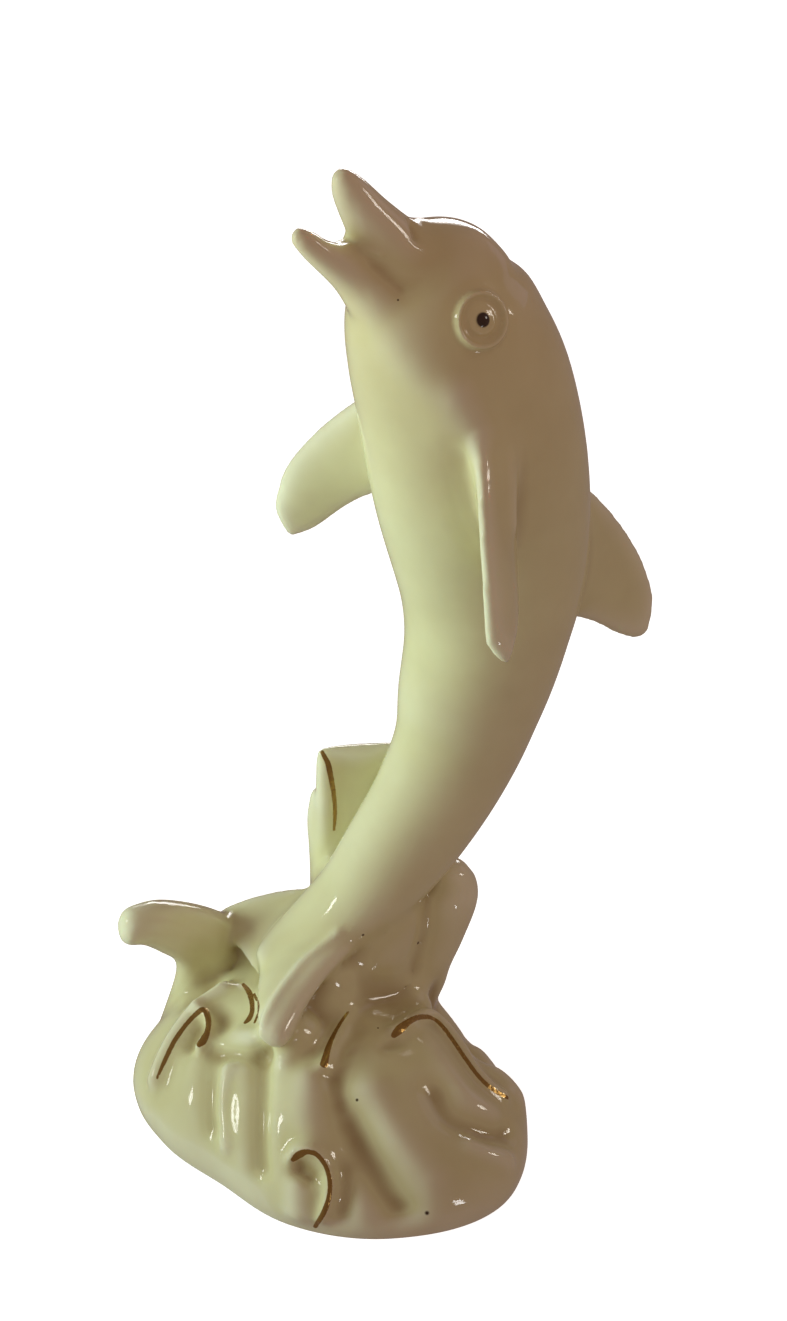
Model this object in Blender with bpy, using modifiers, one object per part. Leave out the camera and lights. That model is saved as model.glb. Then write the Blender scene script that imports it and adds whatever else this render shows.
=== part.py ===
"""A glazed porcelain dolphin leaping out of a breaking wave, cast as one piece.

The figure is drawn on a grid of shares: DRAWN_HEIGHT shares make its full height.  The dolphin
lies in the plane y = 0 of its own frame, belly towards -X and back towards +X, and its chest and
head are then turned about an upright line.  The waves stand on the foot, whose centre on the
underside is the origin.
"""
import math

import bmesh
import bpy
import numpy as np
from mathutils import Matrix, Vector

# Sizes of the real figure, in metres
FIGURE_HEIGHT = 0.194
FOOT_WIDTH = 0.075
FOOT_LENGTH = 0.082
MOUND_HEIGHT = 0.026
CREST_HEIGHT = 0.066
EYE_WIDTH = 0.0092

# The grid that the free forms are drawn on
DRAWN_HEIGHT = 194.0
DRAWN_FOOT_WIDTH = 75.0
DRAWN_FOOT_LENGTH = 82.0
DRAWN_MOUND_HEIGHT = 26.0
DRAWN_CREST_HEIGHT = 66.0
SHARE = FIGURE_HEIGHT / DRAWN_HEIGHT

# Where the dolphin's plane stands on the foot, in shares
STANCE = Vector((4.5, 11.0, 0.0))

# How far the chest and head are turned from the tail, and between which heights
TURN = math.radians(-14.0)
TURN_LINE_X = 29.0
TURN_FROM_Z = 50.0
TURN_TO_Z = 118.0

# How fine the casting is, and how far its inner corners are filled and its edges rounded
GRAIN = 0.9 * SHARE
FILLED = 5.5 * SHARE
ROUNDED = 2.0 * SHARE
FACES = 9400
SIDES = 36
MOUND_SIDES = 180
RINGS_PER_STATION = 6
FOLD_STEPS = 4

# The rounded end of a form: its height as a share of the smaller half axis, its rings, how far round
END_HEIGHT = 0.6
END_RINGS = 3
END_ANGLE = math.radians(78.0)

# Spine of the body from the mouth to the notch of the flukes: x, z, half width, half depth
SPINE = (
    (15.0, 182.2, 1.6, 1.6),
    (15.6, 179.8, 6.6, 6.4),
    (17.2, 174.8, 11.9, 12.4),
    (18.5, 167.6, 15.6, 16.8),
    (21.4, 159.0, 17.4, 19.0),
    (25.5, 147.0, 18.7, 20.5),
    (29.1, 130.2, 18.8, 20.8),
    (31.8, 112.7, 17.5, 19.0),
    (30.8, 98.0, 15.9, 15.9),
    (27.8, 85.2, 13.9, 14.6),
    (25.0, 74.5, 12.1, 12.9),
    (19.2, 62.5, 11.0, 11.8),
    (11.7, 51.3, 10.4, 10.6),
    (4.5, 43.0, 10.2, 8.4),
    (-3.5, 37.5, 9.6, 5.6),
    (-11.0, 33.5, 7.0, 3.2),
    (-15.0, 32.0, 4.0, 2.0),
)

# Beaks from root to tip and the bed of the mouth between them: x, z, half width, half depth
UPPER_BEAK = (
    (16.5, 169.5, 10.5, 9.0),
    (10.6, 177.3, 7.7, 6.5),
    (4.9, 184.8, 5.2, 4.5),
    (1.1, 190.4, 3.5, 3.2),
    (-0.4, 193.1, 2.2, 2.0),
)
LOWER_BEAK = (
    (15.5, 163.0, 10.5, 8.5),
    (8.6, 169.4, 8.4, 6.8),
    (2.2, 175.2, 5.3, 4.5),
    (-4.4, 179.9, 3.4, 2.7),
    (-7.6, 182.8, 2.6, 2.2),
    (-9.2, 184.2, 1.8, 1.7),
)
MOUTH_BED = (
    (18.5, 166.5, 14.0, 7.6),
    (14.5, 170.0, 12.8, 6.4),
    (11.0, 173.4, 10.4, 4.4),
    (9.6, 175.0, 7.0, 2.0),
)

# Fins: each station is leading edge, trailing edge and half thickness.  The shoulder is a round form.
NEAR_FLIPPER = (
    ((19.4, -6.0, 157.0), (24.0, -6.0, 127.0), 4.6),
    ((17.0, -14.0, 152.5), (23.4, -14.4, 126.0), 3.5),
    ((14.9, -20.2, 146.0), (22.6, -19.8, 123.0), 2.5),
    ((12.2, -25.2, 137.5), (20.1, -24.8, 119.5), 2.1),
    ((9.9, -29.8, 127.5), (17.0, -29.8, 115.0), 1.9),
    ((8.6, -33.0, 117.6), (13.6, -32.8, 110.8), 1.8),
)
NEAR_SHOULDER = (
    (22.5, -6.0, 160.0, 7.4),
    (21.8, -10.4, 153.5, 6.4),
    (21.0, -14.3, 146.5, 5.2),
    (19.8, -18.2, 139.5, 4.0),
    (18.4, -22.4, 131.5, 2.9),
)
FAR_FLIPPER = (
    ((20.5, 6.0, 152.0), (23.0, 6.0, 126.0), 4.5),
    ((17.2, 13.4, 147.4), (21.2, 14.6, 125.1), 4.0),
    ((13.8, 19.8, 142.5), (19.5, 21.0, 122.1), 3.6),
    ((10.1, 27.8, 134.5), (16.5, 27.1, 117.7), 3.3),
    ((6.6, 33.9, 125.5), (12.7, 33.2, 111.5), 3.0),
    ((5.3, 35.9, 118.2), (9.3, 36.4, 109.2), 2.3),
)
DORSAL_FIN = (
    ((42.0, 0.0, 131.0), (44.0, 0.0, 99.0), 5.6),
    ((53.5, 0.0, 123.0), (51.5, 0.0, 96.0), 4.0),
    ((61.0, 0.0, 114.8), (56.0, 0.0, 93.6), 3.0),
    ((66.5, 0.0, 106.0), (60.0, 0.0, 90.8), 2.4),
    ((69.2, 0.0, 97.5), (64.2, 0.0, 88.7), 1.9),
    ((68.2, 0.0, 91.6), (66.4, 0.0, 89.0), 1.1),
)
NEAR_FLUKE = (
    ((6.0, 0.0, 39.0), (-16.0, 0.0, 28.5), 3.6),
    ((1.8, -8.8, 39.6), (-17.6, -4.5, 29.5), 3.4),
    ((-5.2, -13.6, 37.0), (-19.2, -9.5, 30.0), 3.1),
    ((-11.5, -18.4, 33.2), (-20.8, -15.0, 30.2), 2.9),
    ((-17.0, -24.0, 29.2), (-21.8, -20.8, 29.6), 2.6),
)
FAR_FLUKE = (
    ((6.0, 0.0, 38.0), (-16.0, 0.0, 27.5), 3.4),
    ((3.0, 8.5, 37.6), (-17.1, 5.0, 28.2), 2.8),
    ((-1.2, 16.2, 36.0), (-17.6, 11.0, 27.6), 2.3),
    ((-9.2, 22.0, 32.3), (-18.0, 18.0, 27.0), 2.0),
    ((-15.4, 25.0, 28.7), (-18.2, 22.8, 26.6), 1.8),
)

# Radii of the foot at every 30 degrees from +X round to +Y, as shares of half its length
FOOT_RADII = (0.87, 0.835, 0.93, 0.98, 0.99, 1.02, 0.865, 0.775, 0.885, 1.01, 1.1, 0.97)

# Wave mound from the foot up: share of the foot's radius, share of its height
MOUND = (
    (0.955, -0.16),
    (0.985, 0.00),
    (1.000, 0.10),
    (0.990, 0.22),
    (0.950, 0.35),
    (0.870, 0.50),
    (0.760, 0.66),
    (0.620, 0.81),
    (0.450, 0.92),
    (0.250, 0.99),
    (0.080, 1.00),
)
MOUND_PEAK = Vector((-3.0, 8.0, 0.0))
FOLDS_START = 4.0

# Folds carved in the casting: the points each runs through, how far it stands out, its half width
FOLDS = {
    "left crest": (((-34.5, 7, 11), (-32.5, 9, 14.5), (-30, 10.5, 17), (-27, 12, 19.5),
                    (-22.5, 14, 22), (-18.5, 15.5, 23.5)), 1.9, 2.3),
    "behind left crest": (((-24, 19.5, 19.5), (-20.5, 18.5, 21.5)), -1.4, 3),
    "hooked face": (((-21, 21, 28), (-20, 20, 22)), -0.8, 3.6),
    "sheet between the curls": (((-20.5, 6.5, 23), (-20, 1.5, 23)), -1.2, 3),
    "knob under the inner curl": (((-19, 1, 22.5), (-17, -3, 23.5)), 1.6, 2.6),
    "ledge": (((-25, 1, 20), (-22, -2, 20.5), (-18, -5, 22), (-14.5, -7.5, 23)), -1.3, 1.9),
    "left hollow": (((-25.5, -2, 18), (-26.5, -6.5, 15), (-27.5, -10.5, 11)), -1, 3),
    "panel edge": (((-22.5, -4.5, 19), (-24.5, -7.5, 16), (-25.5, -10.5, 13), (-26, -15.5, 9)), 1, 1.7),
    "groove": (((-16.5, -7.5, 22), (-18, -14, 18.5), (-20, -19, 14.5), (-21.5, -23.5, 9.5)), -1.4, 2.8),
    "lobe edge": (((-12.5, -10, 23), (-15.5, -14, 20.5), (-17, -18, 17.5),
                   (-18, -22.5, 14), (-18, -26.5, 11)), 0.6, 2.4),
    "lobe": (((-10, -17, 21.5), (-12, -21.5, 18.5), (-12.5, -26, 15.5)), 1.9, 4.8),
    "upper valley": (((-5.5, -18, 22.5), (-5.5, -22.5, 20.5)), -1.3, 2.6),
    "front valley": (((-4.5, -27, 17.5), (-3, -33.5, 14), (-1, -37.5, 10), (1, -40.5, 6.5)), -2.2, 4),
    "front rib": (((1, -23, 21), (2, -28.5, 18), (4.5, -33, 14.5), (8, -37, 10)), 1, 4),
    "right valley": (((13.5, -25, 19), (14, -27.5, 18), (15.5, -29.5, 16),
                      (20, -31, 13.5), (26, -30, 10.5)), -1.7, 3.2),
    "right ridge": (((15, -10, 23), (17, -17.5, 21), (19.5, -24, 17.5), (24, -27, 13.5)), 0.9, 3.2),
    "right crest": (((10, -10, 24), (12.5, -8.5, 24), (16.5, -5.5, 23), (19.5, -4, 22), (21.5, -6, 21),
                     (23, -12, 19.5), (23.5, -17, 18), (25.5, -20.5, 15.5), (28, -22, 13)), 1.5, 1.8),
    "behind right crest": (((25, 2, 19), (27.5, -3, 18), (30, -8, 16)), -3.9, 4.4),
    "behind the waist": (((28.5, 9.5, 12), (31, 9.5, 9.5), (33, 8, 7)), -2.2, 3.6),
    "right shoulder": (((31, -13, 12), (32, -18, 10)), 1.8, 4),
    "right slope": (((28, 4, 12.5), (31, -1, 9.5), (33, -8, 8)), -6, 5.5),
    "right rib": (((17.5, -33.5, 13), (20.5, -34.5, 11), (24.5, -34.5, 8)), 1, 2),
    "fold beside the fluke": (((3, 0, 28.5), (-3.5, -5, 27), (-9, -8.5, 24.5),
                               (-12.5, -10.5, 23)), 0.8, 2.6),
    "middle rib": (((2.5, -3.5, 26), (-0.5, -8, 25.5), (-3.5, -11.5, 24.5), (-6, -15.5, 23)), 1, 1.5),
    "swirl": (((-15.5, -27, 12.5), (-14.5, -27, 13.5), (-12.5, -28, 14), (-11, -29.5, 13.5), (-10, -32, 12),
               (-10.5, -34, 10), (-11.5, -35.5, 7.5), (-13, -36.5, 4.5)), 1.6, 1.4),
    "swirl lobe": (((-16, -31, 8.5), (-16.5, -33, 4.5)), 1.4, 3.2),
    "outside the swirl": (((-8, -33, 12), (-8.5, -36, 9.5), (-10, -38, 5.5)), -1.2, 2.4),
    "under the tail": (((-3, -3.7, 26), (3.2, -2.2, 30), (12, -1, 28)), -1, 4.5),
}

# Eye in the dolphin's own frame: its centre, how far its rim and pupil stand out
EYE = Vector((18.2, -18.0, 169.5))
EYE_RIM = 1.0
EYE_RIM_WIDTH = 0.9
PUPIL_RISE = 0.7
PUPIL_RADIUS = 1.2

# Wave crests: each station is one edge, the other edge, half thickness
TALL_WAVE = (
    ((3.0, 29.0, 8.0), (30.0, 27.0, 8.0), 6.0),
    ((4.5, 29.0, 30.0), (26.5, 24.5, 30.0), 5.0),
    ((5.5, 28.7, 48.0), (24.5, 23.2, 49.0), 4.0),
    ((5.7, 28.4, 60.5), (24.5, 22.6, 62.5), 3.1),
    ((5.3, 27.6, 67.4), (24.0, 22.2, 68.4), 2.2),
)
SIDE_WAVE = (
    ((3.6, 30.0, 8.0), (14.0, 30.0, 8.0), 6.0),
    ((4.8, 30.5, 35.0), (12.0, 30.5, 35.0), 4.2),
    ((4.2, 30.0, 50.0), (11.0, 30.0, 50.0), 3.4),
    ((5.0, 30.0, 56.6), (9.6, 30.0, 56.6), 2.2),
)
TALL_RIM = (
    (7.5, 28.0, 30.0, 3.2),
    (8.0, 27.5, 48.0, 3.0),
    (8.0, 27.0, 60.0, 2.8),
    (7.6, 26.5, 65.8, 2.4),
)
HOOKED_WAVE = (
    ((-29.5, 26.0, 4.0), (-6.0, 36.0, 4.0), 8.0),
    ((-25.0, 26.0, 19.0), (-6.0, 34.0, 17.0), 6.2),
    ((-25.2, 26.0, 24.5), (-8.5, 33.0, 25.6), 5.4),
    ((-28.6, 25.5, 28.0), (-15.5, 30.5, 32.6), 4.8),
    ((-30.8, 25.0, 30.0), (-22.2, 29.0, 36.8), 4.4),
    ((-33.0, 24.5, 31.6), (-28.4, 27.5, 39.4), 4.2),
    ((-35.2, 24.5, 31.8), (-33.8, 26.0, 39.7), 3.9),
)

# Round forms of the waves: x, y, z, radius
BACK_WAVE = (
    (18.0, 10.0, 4.0, 9.0),
    (19.5, 11.0, 14.0, 8.4),
    (21.2, 12.5, 24.0, 7.8),
    (25.0, 13.0, 32.0, 7.5),
    (28.6, 13.0, 39.5, 6.6),
    (28.8, 13.0, 43.8, 4.4),
)
TAIL_SWELL = (
    (3.0, 11.0, 8.0, 16.0),
    (5.0, 11.0, 22.0, 12.5),
    (10.0, 11.0, 32.0, 10.5),
    (15.0, 11.5, 41.0, 8.5),
    (19.0, 11.5, 46.0, 5.0),
)

# Round forms that fill the mound below the flukes and behind the tail: x, y, z, radius
BEDS = (
    ((-1.0, 19.5, 6.0, 15.0), (-0.5, 19.5, 20.0, 11.5), (0.0, 19.5, 27.0, 9.0), (1.5, 20.0, 31.0, 6.5)),
    ((-3.0, 26.5, 6.0, 12.0), (-3.5, 26.5, 18.0, 10.0), (-4.5, 27.0, 26.5, 7.2)),
    ((-7.5, 3.0, 10.0, 11.0), (-7.0, 3.5, 20.0, 9.5), (-6.5, 4.0, 28.0, 6.5)),
    ((-10.0, -3.5, 10.0, 8.5), (-10.0, -4.0, 19.0, 7.0), (-10.0, -5.0, 26.5, 5.6)),
    ((0.5, 3.0, 10.0, 10.0), (0.5, 3.5, 22.0, 9.0), (1.0, 4.5, 31.0, 7.0)),
    ((7.0, 21.5, 6.0, 9.0), (7.0, 21.5, 24.0, 7.5), (8.5, 21.5, 35.0, 6.2), (10.0, 21.0, 42.0, 5.2)),
    ((17.0, 19.0, 6.0, 9.0), (17.5, 19.5, 20.0, 8.0), (18.5, 19.5, 34.0, 7.0), (21.5, 18.5, 46.0, 6.0)),
)


def through(stations, steps=RINGS_PER_STATION):
    """Rows on the smooth curve through the stations, with even steps between each two."""
    rows = np.array(stations, dtype=float)
    rows = np.vstack([2 * rows[0] - rows[1], rows, 2 * rows[-1] - rows[-2]])
    curve = []
    for index in range(len(stations) - 1):
        before, start, end, after = rows[index:index + 4]
        for step in range(steps):
            f = step / steps
            curve.append(0.5 * (2 * start + (end - before) * f
                                + (2 * before - 5 * start + 4 * end - after) * f ** 2
                                + (3 * start - before - 3 * end + after) * f ** 3))
    curve.append(rows[-2])
    return np.array(curve)


def domed(ring, inner):
    """Rings that close a form with a rounded end beyond its last ring."""
    centre, side, depth = (np.array(part, dtype=float) for part in ring)
    wide, thick = np.linalg.norm(side), np.linalg.norm(depth)
    edge = min(wide, thick)
    way = centre - np.array(inner[0])
    way /= np.linalg.norm(way)
    rings = []
    for step in range(1, END_RINGS + 1):
        angle = END_ANGLE * step / END_RINGS
        drawn_in = edge * (1 - math.cos(angle))
        rings.append((centre + way * edge * END_HEIGHT * math.sin(angle), side * (1 - drawn_in / wide),
                      depth * (1 - drawn_in / thick)))
    return rings


def loft(mesh, rings):
    """Skins closed rings, each a centre and two half axes, into one closed body with rounded ends."""
    loops = []
    rings = domed(rings[0], rings[1])[::-1] + rings + domed(rings[-1], rings[-2])
    last = len(rings) - 1
    for index, (centre, side, depth) in enumerate(rings):
        side, depth = Vector(side), Vector(depth)
        place = Matrix((side, depth, side.cross(depth))).transposed().to_4x4()
        place.translation = Vector(centre)
        made = bmesh.ops.create_circle(mesh, cap_ends=index in (0, last), segments=SIDES, radius=1.0,
                                       matrix=place)
        loops.append(list({edge for vertex in made["verts"] for edge in vertex.link_edges}))
    for first, second in zip(loops, loops[1:]):
        bmesh.ops.bridge_loops(mesh, edges=first + second)


def tangents(points):
    """Unit directions along a run of points."""
    steps = np.gradient(points, axis=0)
    return steps / np.linalg.norm(steps, axis=1)[:, None]


def body(stations):
    """A form lofted along a spine in the dolphin's plane."""
    mesh = bmesh.new()
    rows = through(stations)
    centres = np.stack([rows[:, 0], np.zeros(len(rows)), rows[:, 1]], axis=1)
    rings = []
    for centre, way, half_width, half_depth in zip(centres, tangents(centres), rows[:, 2], rows[:, 3]):
        rings.append((centre, (0.0, half_width, 0.0), (way[2] * half_depth, 0.0, -way[0] * half_depth)))
    loft(mesh, rings)
    return mesh


def blade(stations):
    """A fin or wave crest lofted between its two edges."""
    mesh = bmesh.new()
    flat = [(*one_edge, *other_edge, thickness) for one_edge, other_edge, thickness in stations]
    rows = through(flat)
    one_edge, other_edge = rows[:, 0:3], rows[:, 3:6]
    centres = (one_edge + other_edge) / 2
    rings = []
    for centre, way, chord, thickness in zip(centres, tangents(centres), one_edge - other_edge, rows[:, 6]):
        normal = np.cross(chord, way)
        normal *= thickness / np.linalg.norm(normal)
        rings.append((centre, chord / 2, normal))
    loft(mesh, rings)
    return mesh


def column(stations):
    """A round form along x, y, z, radius stations."""
    mesh = bmesh.new()
    rows = through(stations)
    rings = []
    for centre, way, radius in zip(rows[:, :3], tangents(rows[:, :3]), rows[:, 3]):
        side = np.cross(way, (0.0, 1.0, 0.0))
        side *= radius / np.linalg.norm(side)
        rings.append((centre, side, np.cross(way, side)))
    loft(mesh, rings)
    return mesh


def turned(point):
    """A point of the straight dolphin after its chest and head are turned."""
    share = min(max((point.z - TURN_FROM_Z) / (TURN_TO_Z - TURN_FROM_Z), 0.0), 1.0)
    angle = -TURN * share * share * (3 - 2 * share)
    x, y = point.x - TURN_LINE_X, point.y
    return Vector((TURN_LINE_X + x * math.cos(angle) - y * math.sin(angle),
                   x * math.sin(angle) + y * math.cos(angle), point.z))


def foot_radius(angle):
    """Radius of the foot's outline in shares, towards an angle."""
    count = len(FOOT_RADII)
    place = (angle / (2 * math.pi) * count) % count
    index, f = int(place), place % 1.0
    before, start, end, after = (FOOT_RADII[(index + k) % count] for k in (-1, 0, 1, 2))
    radius = 0.5 * (2 * start + (end - before) * f + (2 * before - 5 * start + 4 * end - after) * f ** 2
                    + (3 * start - before - 3 * end + after) * f ** 3)
    return radius * DRAWN_FOOT_LENGTH / 2


def mound():
    """The swell of water that everything rises from."""
    mesh = bmesh.new()
    rows = through(MOUND)
    loops = []
    last = len(rows) - 1
    for index, (reach, rise) in enumerate(rows):
        made = bmesh.ops.create_circle(mesh, cap_ends=index in (0, last), segments=MOUND_SIDES,
                                       radius=1.0)
        for vertex in made["verts"]:
            angle = math.atan2(vertex.co.y, vertex.co.x)
            radius = foot_radius(angle) * reach
            flat = Vector((radius * math.cos(angle), radius * math.sin(angle), rise * DRAWN_MOUND_HEIGHT))
            vertex.co = flat + MOUND_PEAK * (1 - reach)
        loops.append(list({edge for vertex in made["verts"] for edge in vertex.link_edges}))
    for first, second in zip(loops, loops[1:]):
        bmesh.ops.bridge_loops(mesh, edges=first + second)
    return mesh


def dolphin_forms():
    """Every form of the dolphin, turned and set on the foot."""
    forms = [body(stations) for stations in (SPINE, UPPER_BEAK, LOWER_BEAK, MOUTH_BED)]
    forms += [blade(stations) for stations in (DORSAL_FIN, NEAR_FLIPPER, FAR_FLIPPER, NEAR_FLUKE, FAR_FLUKE)]
    forms.append(column(NEAR_SHOULDER))
    for form in forms:
        for vertex in form.verts:
            vertex.co = turned(vertex.co) + STANCE
    return forms


def on_foot(point):
    """A point of the waves as drawn, stretched with the foot and with the heights of the waves."""
    low, high = DRAWN_MOUND_HEIGHT, DRAWN_CREST_HEIGHT
    mound_rise = MOUND_HEIGHT / SHARE
    crest_rise = CREST_HEIGHT / SHARE
    z = point.z * mound_rise / low
    if point.z > low:
        z = mound_rise + (point.z - low) * (crest_rise - mound_rise) / (high - low)
    return Vector((point.x * FOOT_WIDTH / DRAWN_FOOT_WIDTH / SHARE,
                   point.y * FOOT_LENGTH / DRAWN_FOOT_LENGTH / SHARE, z))


def wave_forms():
    """The mound and the crests that break from it."""
    forms = [mound(), blade(TALL_WAVE), column(TALL_RIM), blade(SIDE_WAVE), blade(HOOKED_WAVE),
             column(BACK_WAVE), column(TAIL_SWELL), *(column(stations) for stations in BEDS)]
    for form in forms:
        for vertex in form.verts:
            vertex.co = on_foot(vertex.co)
    return forms


def cast(forms, name, collection):
    """Fuses closed forms into one smooth closed body, in metres."""
    whole = bmesh.new()
    for form in forms:
        bmesh.ops.recalc_face_normals(form, faces=form.faces)
        part = bpy.data.meshes.new(name)
        form.to_mesh(part)
        whole.from_mesh(part)
        form.free()
        bpy.data.meshes.remove(part)
    bmesh.ops.scale(whole, verts=whole.verts, vec=(SHARE, SHARE, SHARE))
    mesh = bpy.data.meshes.new(name)
    whole.to_mesh(mesh)
    whole.free()
    figure = bpy.data.objects.new(name, mesh)
    collection.objects.link(figure)
    remesh = figure.modifiers.new("Fuse", "REMESH")
    remesh.mode = "VOXEL"
    remesh.voxel_size = GRAIN
    return figure


def applied(figure):
    """Replaces an object's mesh by what its modifiers make of it."""
    graph = bpy.context.evaluated_depsgraph_get()
    mesh = bpy.data.meshes.new_from_object(figure.evaluated_get(graph))
    figure.modifiers.clear()
    old = figure.data
    figure.data = mesh
    bpy.data.meshes.remove(old)


def outward(points, faces):
    """Unit normals at the points of a mesh of four-sided faces."""
    corners = points[faces]
    across = np.cross(corners[:, 2] - corners[:, 0], corners[:, 3] - corners[:, 1])
    sums = [np.bincount(faces.ravel(), np.repeat(across[:, k], 4), len(points)) for k in range(3)]
    normals = np.stack(sums, axis=1)
    return normals / np.linalg.norm(normals, axis=1)[:, None]


def settled(points, faces, edges):
    """Points after the inner corners are filled and then every edge is rounded a little."""
    count = np.bincount(edges.ravel(), minlength=len(points))
    fill_steps = round((FILLED / GRAIN) ** 2)
    round_steps = round((ROUNDED / GRAIN) ** 2)
    for step in range(fill_steps + round_steps):
        far = points[edges[:, ::-1]].reshape(-1, 3)
        mean = np.stack([np.bincount(edges.ravel(), far[:, k], len(points)) for k in range(3)], axis=1)
        shift = mean / count[:, None] - points
        if step < fill_steps:
            normals = outward(points, faces)
            lift = np.maximum((shift * normals).sum(axis=1), 0.0)
            shift = normals * lift[:, None]
        points = points + 0.5 * shift
    return points


def from_line(points, line):
    """Distance of each point from a run of points."""
    best = np.full(len(points), np.inf)
    for start, end in zip(line, line[1:]):
        way = end - start
        share = np.clip((points - start) @ way / (way @ way), 0.0, 1.0)
        best = np.minimum(best, np.linalg.norm(points - start - share[:, None] * way, axis=1))
    return best


def carved(points, normals):
    """Points after the folds of the waves and the eyes are worked in, in shares."""
    rise = np.zeros(len(points))
    for line, height, reach in FOLDS.values():
        run = np.array([on_foot(Vector(place)) for place in through(line, FOLD_STEPS)])
        rise += height * np.exp(-(from_line(points, run) / reach) ** 2)
    rise *= np.clip(points[:, 2] / FOLDS_START, 0.0, 1.0)
    ring = EYE_WIDTH / SHARE / 2 - EYE_RIM_WIDTH
    for side in (-1, 1):
        centre = np.array(turned(Vector((EYE.x, side * EYE.y, EYE.z))) + STANCE)
        away = np.linalg.norm(points - centre, axis=1)
        rise += EYE_RIM * np.exp(-((away - ring) / EYE_RIM_WIDTH) ** 2)
        rise += PUPIL_RISE * np.exp(-(away / PUPIL_RADIUS) ** 2)
    return points + normals * rise[:, None]


def finish(figure):
    """Settles and carves the fused casting."""
    mesh = figure.data
    points = np.array([vertex.co for vertex in mesh.vertices])
    faces = np.array([face.vertices for face in mesh.polygons])
    edges = np.array([edge.vertices for edge in mesh.edges])
    points = settled(points, faces, edges)
    points = carved(points / SHARE, outward(points, faces)) * SHARE
    mesh.vertices.foreach_set("co", points.ravel())
    mesh.update()


def thin_out(figure):
    """Brings the body down to its face budget, sparing the eyes."""
    spared = figure.vertex_groups.new(name="Spared")
    eyes = [turned(Vector((EYE.x, side * EYE.y, EYE.z))) + STANCE for side in (-1, 1)]
    near = [vertex.index for vertex in figure.data.vertices
            if min((vertex.co / SHARE - eye).length for eye in eyes) < EYE_WIDTH / SHARE]
    spared.add(near, 1.0, "REPLACE")
    triangles = sum(len(face.vertices) - 2 for face in figure.data.polygons)
    decimate = figure.modifiers.new("Thin", "DECIMATE")
    decimate.ratio = min(1.0, FACES / triangles)
    decimate.vertex_group = spared.name
    decimate.invert_vertex_group = True
    decimate.vertex_group_factor = 1.0
    applied(figure)


def flat_foot(figure):
    """Cuts the underside flat at z = 0."""
    mesh = bmesh.new()
    mesh.from_mesh(figure.data)
    geometry = mesh.verts[:] + mesh.edges[:] + mesh.faces[:]
    cut = bmesh.ops.bisect_plane(mesh, geom=geometry, dist=1e-6, plane_co=(0, 0, 0), plane_no=(0, 0, -1),
                                 clear_outer=True)
    rim = [piece for piece in cut["geom_cut"] if isinstance(piece, bmesh.types.BMEdge)]
    for vertex in {vertex for edge in rim for vertex in edge.verts}:
        vertex.co.z = 0.0
    bmesh.ops.contextual_create(mesh, geom=rim)
    bmesh.ops.triangulate(mesh, faces=mesh.faces)
    bmesh.ops.recalc_face_normals(mesh, faces=mesh.faces)
    mesh.to_mesh(figure.data)
    mesh.free()


def glaze():
    """Glossy ivory glaze."""
    material = bpy.data.materials.new("ivory_glaze")
    material.use_nodes = True
    shader = material.node_tree.nodes["Principled BSDF"]
    shader.inputs["Base Color"].default_value = (0.66, 0.62, 0.42, 1.0)
    shader.inputs["Roughness"].default_value = 0.12
    shader.inputs["Metallic"].default_value = 0.0
    return material


def main():
    for thing in list(bpy.data.objects):
        bpy.data.objects.remove(thing, do_unlink=True)
    collection = bpy.data.collections.new("dolphin_figurine")
    bpy.context.scene.collection.children.link(collection)
    figure = cast(dolphin_forms() + wave_forms(), "dolphin_on_waves", collection)
    applied(figure)
    finish(figure)
    thin_out(figure)
    flat_foot(figure)
    figure.data.materials.clear()
    figure.data.materials.append(glaze())
    figure.data.shade_smooth()


main()
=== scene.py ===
"""Looks of a glazed porcelain dolphin that leaps out of a breaking wave.

The figure is cast as one piece, so the whole of it is one finely meshed casting that stands for
the single solid.  Lengths are in millimetres on the foot's own grid until the casting is scaled
to metres: +Z is up, the dolphin's belly faces -X, and the origin is the foot's centre.
"""

import logging
import math
from collections.abc import Iterator
from contextlib import contextmanager
from dataclasses import dataclass, field
from enum import Enum

import bmesh
import bpy
import numpy as np
from mathutils import Matrix, Vector
from mathutils.bvhtree import BVHTree


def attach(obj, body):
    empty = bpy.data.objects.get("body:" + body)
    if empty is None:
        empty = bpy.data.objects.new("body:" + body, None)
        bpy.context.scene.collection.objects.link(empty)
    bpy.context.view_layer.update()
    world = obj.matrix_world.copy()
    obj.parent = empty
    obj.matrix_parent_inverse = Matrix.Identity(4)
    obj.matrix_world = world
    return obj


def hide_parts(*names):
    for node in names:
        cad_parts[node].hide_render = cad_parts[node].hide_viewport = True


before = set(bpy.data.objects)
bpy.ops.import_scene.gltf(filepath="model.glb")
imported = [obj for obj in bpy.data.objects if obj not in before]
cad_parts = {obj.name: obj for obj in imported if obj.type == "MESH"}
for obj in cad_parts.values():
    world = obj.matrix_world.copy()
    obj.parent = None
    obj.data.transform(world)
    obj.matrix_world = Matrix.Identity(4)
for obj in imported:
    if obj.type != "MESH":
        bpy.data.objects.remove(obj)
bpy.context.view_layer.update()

log = logging.getLogger("dolphin")

MM = 0.001
NODE = "dolphin_on_waves"

Row = tuple[float, ...]
Rows = tuple[Row, ...]
Ring = tuple[np.ndarray, np.ndarray, np.ndarray]
Value = np.ndarray | float
Socket = bpy.types.NodeSocket


# Curves and forms


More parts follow.
